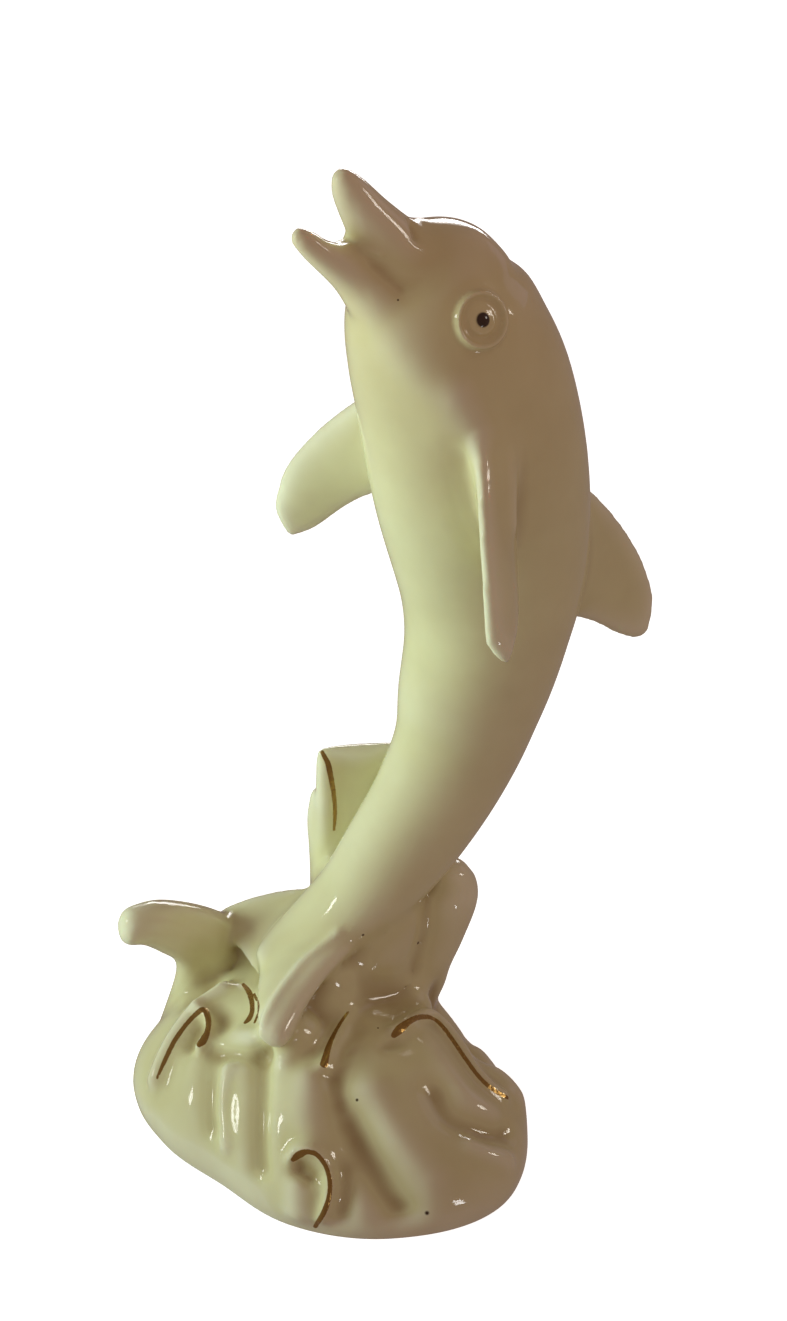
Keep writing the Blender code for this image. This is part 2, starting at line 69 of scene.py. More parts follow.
def between(before: Value, start: Value, end: Value, after: Value, share: float) -> Value:
    """A value on the smooth curve between two stations, led by the stations on either side.

    Args:
        before: The station before the stretch.
        start: Where the stretch starts.
        end: Where it ends.
        after: The station after it.
        share: How far along the stretch, from 0 to 1.

    Returns:
        The value.
    """
    return 0.5 * (2 * start + (end - before) * share
                  + (2 * before - 5 * start + 4 * end - after) * share ** 2
                  + (3 * start - before - 3 * end + after) * share ** 3)


def through(stations: Rows, steps: int = 6) -> np.ndarray:
    """Rows on the smooth curve through the stations.

    Args:
        stations: Rows of numbers, each one station.
        steps: Even steps between two stations.

    Returns:
        The rows, one to a line.
    """
    rows = np.array(stations, dtype=float)
    rows = np.vstack([2 * rows[0] - rows[1], rows, 2 * rows[-1] - rows[-2]])
    curve = [between(*rows[index:index + 4], step / steps)
             for index in range(len(stations) - 1) for step in range(steps)]
    return np.array(curve + [rows[-2]])


def tangents(points: np.ndarray) -> np.ndarray:
    """Unit directions along a run of points."""
    steps = np.gradient(points, axis=0)
    return steps / np.linalg.norm(steps, axis=1)[:, None]


def domed(ring: Ring, inner: Ring, height: float = 0.6, turn: float = 78.0,
          steps: int = 3) -> list[Ring]:
    """Rings that close a form with a rounded end.

    Args:
        ring: The form's last ring.
        inner: The ring before it.
        height: Height of the end, as a share of the ring's smaller half axis.
        turn: How far the end turns in before its small flat cap, in degrees.
        steps: Number of rings.

    Returns:
        The rings, from the last one outwards.
    """
    centre, side, depth = (np.array(part, dtype=float) for part in ring)
    wide, thick = np.linalg.norm(side), np.linalg.norm(depth)
    edge = min(wide, thick)
    way = centre - np.array(inner[0])
    way /= np.linalg.norm(way)
    rings = []
    for step in range(1, steps + 1):
        angle = math.radians(turn) * step / steps
        drawn_in = edge * (1 - math.cos(angle))
        rings.append((centre + way * edge * height * math.sin(angle), side * (1 - drawn_in / wide),
                      depth * (1 - drawn_in / thick)))
    return rings


def loft(rings: list[Ring], sides: int = 48) -> bmesh.types.BMesh:
    """Skins closed rings into one closed form with rounded ends.

    Args:
        rings: Centre and two half axes of each ring.
        sides: Points round each ring.

    Returns:
        The form.
    """
    form = bmesh.new()
    loops = []
    rings = domed(rings[0], rings[1])[::-1] + rings + domed(rings[-1], rings[-2])
    last = len(rings) - 1
    for index, (centre, side, depth) in enumerate(rings):
        side, depth = Vector(side), Vector(depth)
        place = Matrix((side, depth, side.cross(depth))).transposed().to_4x4()
        place.translation = Vector(centre)
        made = bmesh.ops.create_circle(form, cap_ends=index in (0, last), segments=sides,
                                       radius=1.0, matrix=place)
        loops.append(list({edge for vertex in made["verts"] for edge in vertex.link_edges}))
    for first, second in zip(loops, loops[1:]):
        bmesh.ops.bridge_loops(form, edges=first + second)
    return form


def spine_form(stations: Rows) -> bmesh.types.BMesh:
    """Lofts a form that lies in the dolphin's own plane.

    Args:
        stations: Rows of x, z, half width and half depth.

    Returns:
        The form.
    """
    rows = through(stations)
    centres = np.stack([rows[:, 0], np.zeros(len(rows)), rows[:, 1]], axis=1)
    rings = []
    for centre, way, half_width, half_depth in zip(centres, tangents(centres),
                                                   rows[:, 2], rows[:, 3]):
        depth = np.array((way[2], 0.0, -way[0])) * half_depth
        rings.append((centre, np.array((0.0, half_width, 0.0)), depth))
    return loft(rings)


def blade_form(stations: Rows) -> bmesh.types.BMesh:
    """Lofts a fin or crest between two edges.

    Args:
        stations: Rows of one edge's x, y and z, the other's, and half the thickness.

    Returns:
        The form.
    """
    rows = through(stations)
    one_edge, other_edge = rows[:, 0:3], rows[:, 3:6]
    centres = (one_edge + other_edge) / 2
    rings = []
    for centre, way, chord, thickness in zip(centres, tangents(centres),
                                             one_edge - other_edge, rows[:, 6]):
        normal = np.cross(chord, way)
        rings.append((centre, chord / 2, normal * thickness / np.linalg.norm(normal)))
    return loft(rings)


def column_form(stations: Rows) -> bmesh.types.BMesh:
    """Lofts a round form.

    Args:
        stations: Rows of x, y, z and radius.

    Returns:
        The form.
    """
    rows = through(stations)
    rings = []
    for centre, way, radius in zip(rows[:, :3], tangents(rows[:, :3]), rows[:, 3]):
        side = np.cross(way, (0.0, 1.0, 0.0))
        side *= radius / np.linalg.norm(side)
        rings.append((centre, side, np.cross(way, side)))
    return loft(rings)


def stretches(points: np.ndarray, line: np.ndarray) -> Iterator[tuple[np.ndarray, np.ndarray]]:
    """Walks along a line, one stretch at a time.

    Args:
        points: Places to measure from.
        line: Rows of x, y, z and any further values.

    Yields:
        Each place's distance from the stretch, and the line's values where it is nearest.
    """
    for start, end in zip(line, line[1:]):
        way = end[:3] - start[:3]
        share = np.clip((points - start[:3]) @ way / max(way @ way, 1e-9), 0.0, 1.0)[:, None]
        nearest = start + share * (end - start)
        yield np.linalg.norm(points - nearest[:, :3], axis=1), nearest


def from_line(points: np.ndarray, line: np.ndarray) -> np.ndarray:
    """Distance of each point from a line.

    Args:
        points: Places to measure from.
        line: Rows that start with x, y and z.

    Returns:
        The distances.
    """
    best = np.full(len(points), np.inf)
    for away, _ in stretches(points, line):
        best = np.minimum(best, away)
    return best


# Where the photograph was taken from


@dataclass(frozen=True)
class Viewpoint:
    """The photograph's camera, and the way from its pixels to the figure.

    Angles are in degrees.  The distance, the target and the sensor are in millimetres.
    """

    azimuth: float = -18.0
    elevation: float = 28.0
    distance: float = 480.0
    target: tuple[float, float, float] = (16.5, 11.0, 95.0)
    focal_px: float = 2520.0
    width_px: int = 787
    height_px: int = 1321
    sensor: float = 36.0
    clip_start: float = 0.01

    def axes(self) -> tuple[Vector, Vector, Vector]:
        """Works out how the camera is turned.

        Returns:
            Its right, up and back.
        """
        turn, tilt = math.radians(self.azimuth), math.radians(self.elevation)
        back = Vector((math.sin(turn) * math.cos(tilt), -math.cos(turn) * math.cos(tilt),
                       math.sin(tilt)))
        right = Vector((0.0, 0.0, 1.0)).cross(back).normalized()
        return right, back.cross(right), back

    def position(self) -> Vector:
        """The camera's place in millimetres."""
        return Vector(self.target) + self.axes()[2] * self.distance

    def ray(self, across: float, down: float) -> Vector:
        """Line of sight through a pixel of the photograph.

        Args:
            across: Pixels from its left edge.
            down: Pixels from its top edge.

        Returns:
            The direction from the camera.
        """
        right, up, back = self.axes()
        x = (across - self.width_px / 2) / self.focal_px
        y = (down - self.height_px / 2) / self.focal_px
        return (right * x - up * y - back).normalized()

    def placed(self, right: float, up: float, back: float) -> Vector:
        """A place in metres that lies so far from the target along the camera's axes."""
        axes = self.axes()
        return Vector(self.target) * MM + axes[0] * right + axes[1] * up + axes[2] * back

    def camera(self) -> bpy.types.Object:
        """Adds the camera and makes it the scene's own.

        Returns:
            The camera.
        """
        data = bpy.data.cameras.new("photograph_camera")
        data.sensor_fit = "VERTICAL"
        data.sensor_height = self.sensor
        data.lens = self.sensor * self.focal_px / self.height_px
        data.clip_start = self.clip_start
        camera = bpy.data.objects.new("photograph_camera", data)
        camera.location = self.position() * MM
        right, up, back = self.axes()
        camera.rotation_euler = Matrix((right, up, back)).transposed().to_euler()
        bpy.context.scene.collection.objects.link(camera)
        bpy.context.scene.camera = camera
        return camera


# The dolphin


@dataclass(frozen=True)
class Eye:
    """One eye's place on the straight dolphin and its sculpted rims, in millimetres."""

    centre: tuple[float, float, float] = (18.2, -18.0, 169.5)
    ring_radius: float = 4.5
    ring_width: float = 0.6
    ring_rise: float = 1.1
    ball_radius: float = 2.9
    ball_rise: float = 0.35
    pupil_radius: float = 1.5
    pupil_rise: float = 0.4
    lid_radius: float = 2.3
    lid_width: float = 0.45
    lid_rise: float = 0.32
    lid_corner: float = 0.3

    def relief(self, points: np.ndarray, centre: np.ndarray) -> np.ndarray:
        """How far each point of the casting stands out for this eye.

        Args:
            points: Points of the casting.
            centre: The eye's centre on the casting.

        Returns:
            The rise of each point.
        """
        away = np.linalg.norm(points - centre, axis=1)
        low = np.clip((centre[2] - points[:, 2]) / self.lid_radius + self.lid_corner, 0.0, 1.0)
        rise = self.ring_rise * np.exp(-((away - self.ring_radius) / self.ring_width) ** 2)
        rise += self.ball_rise * np.clip(1 - (away / self.ball_radius) ** 2, 0.0, 1.0)
        rise += self.lid_rise * low * np.exp(-((away - self.lid_radius) / self.lid_width) ** 2)
        rise += self.pupil_rise * np.clip(1 - (away / self.pupil_radius) ** 2, 0.0, 1.0)
        return rise


@dataclass(frozen=True)
class Dolphin:
    """The leaping dolphin: its forms, its turned chest and its place on the foot.

    The spine, the beaks and the mouth's bed are rows for spine_form.  The flippers, the fin and the
    flukes are rows for blade_form, and the shoulder is rows for column_form.  The body is straight
    below one height, turned in full above another, and turns smoothly between them.
    """

    stance: tuple[float, float, float] = (4.5, 11.0, 0.0)
    turn: float = -14.0
    turn_line: float = 29.0
    turn_from: float = 50.0
    turn_to: float = 118.0
    eye: Eye = Eye()
    spine: Rows = (
        (15.0, 182.2, 1.6, 1.6),
        (15.6, 179.8, 6.6, 6.4),
        (17.2, 174.8, 11.9, 12.4),
        (18.5, 167.6, 15.6, 16.8),
        (21.4, 159.0, 17.4, 19.0),
        (25.5, 147.0, 18.7, 20.5),
        (29.1, 130.2, 18.8, 20.8),
        (31.8, 112.7, 17.5, 19.0),
        (30.8, 98.0, 15.9, 15.9),
        (27.8, 85.2, 13.9, 14.6),
        (25.0, 74.5, 12.1, 12.9),
        (19.2, 62.5, 11.0, 11.8),
        (11.7, 51.3, 10.4, 10.6),
        (4.5, 43.0, 10.2, 8.4),
        (-3.5, 37.5, 9.6, 5.6),
        (-11.0, 33.5, 7.0, 3.2),
        (-15.0, 32.0, 4.0, 2.0),
    )
    upper_beak: Rows = (
        (16.5, 169.5, 10.5, 9.0),
        (10.6, 177.3, 7.7, 6.5),
        (4.9, 184.8, 5.2, 4.5),
        (1.1, 190.4, 3.5, 3.2),
        (-0.4, 193.1, 2.2, 2.0),
    )
    lower_beak: Rows = (
        (15.5, 163.0, 10.5, 8.5),
        (8.6, 169.4, 8.4, 6.8),
        (2.2, 175.2, 5.3, 4.5),
        (-4.4, 179.9, 3.4, 2.7),
        (-7.6, 182.8, 2.6, 2.2),
        (-9.2, 184.2, 1.8, 1.7),
    )
    mouth_bed: Rows = (
        (18.5, 166.5, 14.0, 7.6),
        (14.5, 170.0, 12.8, 6.4),
        (11.0, 173.4, 10.4, 4.4),
        (9.6, 175.0, 7.0, 2.0),
    )
    near_flipper: Rows = (
        (19.4, -6.0, 157.0, 24.0, -6.0, 127.0, 4.6),
        (17.0, -14.0, 152.5, 23.4, -14.4, 126.0, 3.5),
        (14.9, -20.2, 146.0, 22.6, -19.8, 123.0, 2.5),
        (12.2, -25.2, 137.5, 20.1, -24.8, 119.5, 2.1),
        (9.9, -29.8, 127.5, 17.0, -29.8, 115.0, 1.9),
        (8.6, -33.0, 117.6, 13.6, -32.8, 110.8, 1.8),
    )
    near_shoulder: Rows = (
        (22.5, -6.0, 160.0, 7.4),
        (21.8, -10.4, 153.5, 6.4),
        (21.0, -14.3, 146.5, 5.2),
        (19.8, -18.2, 139.5, 4.0),
        (18.4, -22.4, 131.5, 2.9),
    )
    far_flipper: Rows = (
        (20.5, 6.0, 152.0, 23.0, 6.0, 126.0, 4.5),
        (17.2, 13.4, 147.4, 21.2, 14.6, 125.1, 4.0),
        (13.8, 19.8, 142.5, 19.5, 21.0, 122.1, 3.6),
        (10.1, 27.8, 134.5, 16.5, 27.1, 117.7, 3.3),
        (6.6, 33.9, 125.5, 12.7, 33.2, 111.5, 3.0),
        (5.3, 35.9, 118.2, 9.3, 36.4, 109.2, 2.3),
    )
    dorsal_fin: Rows = (
        (42.0, 0.0, 131.0, 44.0, 0.0, 99.0, 5.6),
        (53.5, 0.0, 123.0, 51.5, 0.0, 96.0, 4.0),
        (61.0, 0.0, 114.8, 56.0, 0.0, 93.6, 3.0),
        (66.5, 0.0, 106.0, 60.0, 0.0, 90.8, 2.4),
        (69.2, 0.0, 97.5, 64.2, 0.0, 88.7, 1.9),
        (68.2, 0.0, 91.6, 66.4, 0.0, 89.0, 1.1),
    )
    far_fluke: Rows = (
        (6.0, 0.0, 38.0, -16.0, 0.0, 27.5, 3.4),
        (3.0, 8.5, 37.6, -17.1, 5.0, 28.2, 2.8),
        (-1.2, 16.2, 36.0, -17.6, 11.0, 27.6, 2.3),
        (-9.2, 22.0, 32.3, -18.0, 18.0, 27.0, 2.0),
        (-15.4, 25.0, 28.7, -18.2, 22.8, 26.6, 1.8),
    )
    near_fluke: Rows = (
        (6.0, 0.0, 39.0, -16.0, 0.0, 28.5, 3.6),
        (1.8, -8.8, 39.6, -17.6, -4.5, 29.5, 3.4),
        (-5.2, -13.6, 37.0, -19.2, -9.5, 30.0, 3.1),
        (-11.5, -18.4, 33.2, -20.8, -15.0, 30.2, 2.9),
        (-17.0, -24.0, 29.2, -21.8, -20.8, 29.6, 2.6),
    )

    def twist(self, height: float) -> float:
        """How far the body is turned at a height, in radians."""
        share = min(max((height - self.turn_from) / (self.turn_to - self.turn_from), 0.0), 1.0)
        return -math.radians(self.turn) * share * share * (3 - 2 * share)

    def turned(self, point: Vector, angle: float) -> Vector:
        """Turns a point about the dolphin's upright turning line.

        Args:
            point: The point.
            angle: How far, in radians.

        Returns:
            Where it comes to lie.
        """
        x, y = point.x - self.turn_line, point.y
        return Vector((self.turn_line + x * math.cos(angle) - y * math.sin(angle),
                       x * math.sin(angle) + y * math.cos(angle), point.z))

    def placed(self, point: Vector) -> Vector:
        """A point of the straight dolphin, turned and set on the foot."""
        return self.turned(point, self.twist(point.z)) + Vector(self.stance)

    def straight(self, point: Vector) -> Vector:
        """The point of the straight dolphin that is placed at a point of the casting."""
        lifted = point - Vector(self.stance)
        return self.turned(lifted, -self.twist(lifted.z))

    def across(self, point: Vector) -> Vector:
        """The same place on the dolphin's other side."""
        here = self.straight(point)
        return self.placed(Vector((here.x, -here.y, here.z)))

    def eye_centres(self) -> list[Vector]:
        """The near and the far eye's centres on the casting."""
        x, y, z = self.eye.centre
        return [self.placed(Vector((x, side * y, z))) for side in (1, -1)]

    def forms(self) -> list[bmesh.types.BMesh]:
        """Builds every form of the dolphin, turned and set on the foot.

        Returns:
            The forms.
        """
        lengths = (self.spine, self.upper_beak, self.lower_beak, self.mouth_bed)
        blades = (self.dorsal_fin, self.near_flipper, self.far_flipper, self.near_fluke,
                  self.far_fluke)
        made = [spine_form(rows) for rows in lengths] + [blade_form(rows) for rows in blades]
        made.append(column_form(self.near_shoulder))
        for form in made:
            for vertex in form.verts:
                vertex.co = self.placed(vertex.co)
        return made


# The waves


@dataclass(frozen=True)
class Fold:
    """A ridge or hollow worked along a line: its points, how far it stands out, its half width."""

    name: str
    line: Rows
    rise: float
    reach: float


@dataclass(frozen=True)
class Waves:
    """The mound of water and the crests that break from it.

    The mound's rows are shares of the foot's radius and of the mound's height, from the foot up to
    its peak.  The other rows are for blade_form where they have seven numbers and for column_form
    where they have four.  Folds fade out below the height where they start.
    """

    foot_length: float = 82.0
    mound_height: float = 26.0
    foot_radii: Row = (0.87, 0.835, 0.93, 0.98, 0.99, 1.02, 0.865, 0.775, 0.885, 1.01, 1.10, 0.97)
    rim_points: int = 240
    peak: tuple[float, float, float] = (-3.0, 8.0, 0.0)
    folds_start: float = 4.0
    fold_steps: int = 4
    mound: Rows = (
        (0.955, -0.16),
        (0.985, 0.00),
        (1.000, 0.10),
        (0.990, 0.22),
        (0.950, 0.35),
        (0.870, 0.50),
        (0.760, 0.66),
        (0.620, 0.81),
        (0.450, 0.92),
        (0.250, 0.99),
        (0.080, 1.00),
    )
    tall_wave: Rows = (
        (3.0, 29.0, 8.0, 30.0, 27.0, 8.0, 6.0),
        (4.5, 29.0, 30.0, 26.5, 24.5, 30.0, 5.0),
        (5.5, 28.7, 48.0, 24.5, 23.2, 49.0, 4.0),
        (5.7, 28.4, 60.5, 24.5, 22.6, 62.5, 3.1),
        (5.3, 27.6, 67.4, 24.0, 22.2, 68.4, 2.2),
    )
    side_wave: Rows = (
        (3.6, 30.0, 8.0, 14.0, 30.0, 8.0, 6.0),
        (4.8, 30.5, 35.0, 12.0, 30.5, 35.0, 4.2),
        (4.2, 30.0, 50.0, 11.0, 30.0, 50.0, 3.4),
        (5.0, 30.0, 56.6, 9.6, 30.0, 56.6, 2.2),
    )
    tall_rim: Rows = (
        (7.5, 28.0, 30.0, 3.2),
        (8.0, 27.5, 48.0, 3.0),
        (8.0, 27.0, 60.0, 2.8),
        (7.6, 26.5, 65.8, 2.4),
    )
    hooked_wave: Rows = (
        (-29.5, 26.0, 4.0, -6.0, 36.0, 4.0, 8.0),
        (-25.0, 26.0, 19.0, -6.0, 34.0, 17.0, 6.2),
        (-25.2, 26.0, 24.5, -8.5, 33.0, 25.6, 5.4),
        (-28.6, 25.5, 28.0, -15.5, 30.5, 32.6, 4.8),
        (-30.8, 25.0, 30.0, -22.2, 29.0, 36.8, 4.4),
        (-33.0, 24.5, 31.6, -28.4, 27.5, 39.4, 4.2),
        (-35.2, 24.5, 31.8, -33.8, 26.0, 39.7, 3.9),
    )
    back_wave: Rows = (
        (18.0, 10.0, 4.0, 9.0),
        (19.5, 11.0, 14.0, 8.4),
        (21.2, 12.5, 24.0, 7.8),
        (25.0, 13.0, 32.0, 7.5),
        (28.6, 13.0, 39.5, 6.6),
        (28.8, 13.0, 43.8, 4.4),
    )
    tail_swell: Rows = (
        (3.0, 11.0, 8.0, 16.0),
        (5.0, 11.0, 22.0, 12.5),
        (10.0, 11.0, 32.0, 10.5),
        (15.0, 11.5, 41.0, 8.5),
        (19.0, 11.5, 46.0, 5.0),
    )
    beds: tuple[Rows, ...] = (
        ((-1.0, 19.5, 6.0, 15.0), (-0.5, 19.5, 20.0, 11.5), (0.0, 19.5, 27.0, 9.0),
         (1.5, 20.0, 31.0, 6.5)),
        ((-3.0, 26.5, 6.0, 12.0), (-3.5, 26.5, 18.0, 10.0), (-4.5, 27.0, 26.5, 7.2)),
        ((-7.5, 3.0, 10.0, 11.0), (-7.0, 3.5, 20.0, 9.5), (-6.5, 4.0, 28.0, 6.5)),
        ((-10.0, -3.5, 10.0, 8.5), (-10.0, -4.0, 19.0, 7.0), (-10.0, -5.0, 26.5, 5.6)),
        ((0.5, 3.0, 10.0, 10.0), (0.5, 3.5, 22.0, 9.0), (1.0, 4.5, 31.0, 7.0)),
        ((7.0, 21.5, 6.0, 9.0), (7.0, 21.5, 24.0, 7.5), (8.5, 21.5, 35.0, 6.2),
         (10.0, 21.0, 42.0, 5.2)),
        ((17.0, 19.0, 6.0, 9.0), (17.5, 19.5, 20.0, 8.0), (18.5, 19.5, 34.0, 7.0),
         (21.5, 18.5, 46.0, 6.0)),
    )
    folds: tuple[Fold, ...] = (
        Fold("left crest", ((-34.5, 7, 11), (-32.5, 9, 14.5), (-30, 10.5, 17), (-27, 12, 19.5),
                            (-22.5, 14, 22), (-18.5, 15.5, 23.5)), 1.9, 2.3),
        Fold("left crest curl", ((-23.5, 12, 21.5), (-23, 8.5, 22), (-24, 5, 21),
                                 (-26, 4, 19.5)), 1.5, 1.3),
        Fold("under the left curl", ((-25.5, 7.5, 20.5), (-27.5, 6, 18.5)), -1.0, 1.8),
        Fold("behind left crest", ((-24, 19.5, 19.5), (-20.5, 18.5, 21.5)), -1.4, 3.0),
        Fold("hooked face", ((-21, 21, 28), (-20, 20, 22)), -0.8, 3.6),
        Fold("sheet between the curls", ((-20.5, 6.5, 23), (-20, 1.5, 23)), -1.2, 3.0),
        Fold("knob under the inner curl", ((-19, 1, 22.5), (-17, -3, 23.5)), 1.6, 2.6),
        Fold("ledge", ((-25, 1, 20), (-22, -2, 20.5), (-18, -5, 22), (-14.5, -7.5, 23)), -1.3, 1.9),
        Fold("left hollow", ((-25.5, -2, 18), (-26.5, -6.5, 15), (-27.5, -10.5, 11)), -1.0, 3.0),
        Fold("panel edge", ((-22.5, -4.5, 19), (-24.5, -7.5, 16), (-25.5, -10.5, 13),
                            (-26, -15.5, 9)), 1.0, 1.7),
        Fold("panel face", ((-19.7, -6.2, 20.7), (-21.3, -10.9, 17.4), (-22.8, -15, 13.9),
                            (-23.8, -19.5, 9.4)), 0.5, 3.8),
        Fold("groove", ((-16.5, -7.5, 22), (-18, -14, 18.5), (-20, -19, 14.5),
                        (-21.5, -23.5, 9.5)), -1.4, 2.8),
        Fold("lobe edge", ((-12.5, -10, 23), (-15.5, -14, 20.5), (-17, -18, 17.5), (-18, -22.5, 14),
                           (-18, -26.5, 11)), 0.6, 2.4),
        Fold("lobe", ((-10, -17, 21.5), (-12, -21.5, 18.5), (-12.5, -26, 15.5)), 1.9, 4.8),
        Fold("upper valley", ((-5.5, -18, 22.5), (-5.5, -22.5, 20.5)), -1.3, 2.6),
        Fold("front valley", ((-4.5, -27, 17.5), (-3, -33.5, 14), (-1, -37.5, 10),
                              (1, -40.5, 6.5)), -2.2, 4.0),
        Fold("valley floor", ((-3.5, -31, 16), (-2, -35.5, 12), (0, -39.5, 8)), -0.8, 4.2),
        Fold("front rib", ((1, -23, 21), (2, -28.5, 18), (4.5, -33, 14.5), (8, -37, 10)), 1.0, 4.0),
        Fold("right valley", ((13.5, -25, 19), (14, -27.5, 18), (15.5, -29.5, 16), (20, -31, 13.5),
                              (26, -30, 10.5)), -1.7, 3.2),
        Fold("right ridge", ((15, -10, 23), (17, -17.5, 21), (19.5, -24, 17.5),
                             (24, -27, 13.5)), 0.9, 3.2),
        Fold("right crest", ((10, -10, 24), (12.5, -8.5, 24), (16.5, -5.5, 23), (19.5, -4, 22),
                             (21.5, -6, 21), (23, -12, 19.5), (23.5, -17, 18), (25.5, -20.5, 15.5),
                             (28, -22, 13)), 1.5, 1.8),
        Fold("start of the right crest", ((9, -13, 24), (7, -13.5, 24)), -0.6, 1.5),
        Fold("behind right crest", ((25, 2, 19), (27.5, -3, 18), (30, -8, 16)), -3.9, 4.4),
        Fold("behind the waist", ((28.5, 9.5, 12), (31, 9.5, 9.5), (33, 8, 7)), -2.2, 3.6),
        Fold("right shoulder", ((31, -13, 12), (32, -18, 10)), 1.8, 4.0),
        Fold("right slope", ((28, 4, 12.5), (31, -1, 9.5), (33, -8, 8)), -6.0, 5.5),
        Fold("right rib", ((17.5, -33.5, 13), (20.5, -34.5, 11), (24.5, -34.5, 8)), 1.0, 2.0),
        Fold("fold beside the fluke", ((3, 0, 28.5), (-3.5, -5, 27), (-9, -8.5, 24.5),
                                       (-12.5, -10.5, 23)), 0.8, 2.6),
        Fold("middle rib", ((2.5, -3.5, 26), (-0.5, -8, 25.5), (-3.5, -11.5, 24.5),
                            (-6, -15.5, 23)), 1.0, 1.5),
        Fold("beside the middle rib", ((3, -9, 25), (-1, -14, 24), (-3, -18, 22.5)), -0.5, 3.0),
        Fold("swirl", ((-15.5, -27, 12.5), (-14.5, -27, 13.5), (-12.5, -28, 14), (-11, -29.5, 13.5),
                       (-10, -32, 12), (-10.5, -34, 10), (-11.5, -35.5, 7.5),
                       (-13, -36.5, 4.5)), 1.6, 1.4),
        Fold("inside the swirl", ((-15, -29.5, 11.5), (-13.5, -31, 10.5)), -1.4, 1.5),
        Fold("swirl lobe", ((-16, -31, 8.5), (-16.5, -33, 4.5)), 1.4, 3.2),
        Fold("outside the swirl", ((-8, -33, 12), (-8.5, -36, 9.5), (-10, -38, 5.5)), -1.2, 2.4),
        Fold("under the tail", ((-3, -3.7, 26), (3.2, -2.2, 30), (12, -1, 28)), -1.0, 4.5),
    )

    def foot_radius(self, angle: float) -> float:
        """Radius of the foot's outline.

        Args:
            angle: The direction from the foot's centre, in radians.

        Returns:
            The radius in that direction.
        """
        count = len(self.foot_radii)
        place = (angle / (2 * math.pi) * count) % count
        around = [self.foot_radii[(int(place) + step) % count] for step in (-1, 0, 1, 2)]
        return between(*around, place % 1.0) * self.foot_length / 2

    def swell(self) -> bmesh.types.BMesh:
        """Builds the mound of water that everything rises from.

        Returns:
            The mound.
        """
        form = bmesh.new()
        rows = through(self.mound)
        loops = []
        last = len(rows) - 1
        for index, (reach, rise) in enumerate(rows):
            made = bmesh.ops.create_circle(form, cap_ends=index in (0, last),
                                           segments=self.rim_points, radius=1.0)
            for vertex in made["verts"]:
                angle = math.atan2(vertex.co.y, vertex.co.x)
                radius = self.foot_radius(angle) * reach
                height = rise * self.mound_height
                level = Vector((radius * math.cos(angle), radius * math.sin(angle), height))
                vertex.co = level + Vector(self.peak) * (1 - reach)
            loops.append(list({edge for vertex in made["verts"] for edge in vertex.link_edges}))
        for first, second in zip(loops, loops[1:]):
            bmesh.ops.bridge_loops(form, edges=first + second)
        return form

    def forms(self) -> list[bmesh.types.BMesh]:
        """Builds every form of the waves.

        Returns:
            The forms.
        """
        blades = [blade_form(rows) for rows in (self.tall_wave, self.side_wave, self.hooked_wave)]
        round_rows = (self.tall_rim, self.back_wave, self.tail_swell, *self.beds)
        return [self.swell(), *blades, *(column_form(rows) for rows in round_rows)]


# The casting


@dataclass(frozen=True)
class Crease:
    """Fine relief along a line seen in the photograph, in its pixels.

    How far it stands out and its half width are in millimetres.
    """

    name: str
    line: Rows
    rise: float
    reach: float
    both_sides: bool = False


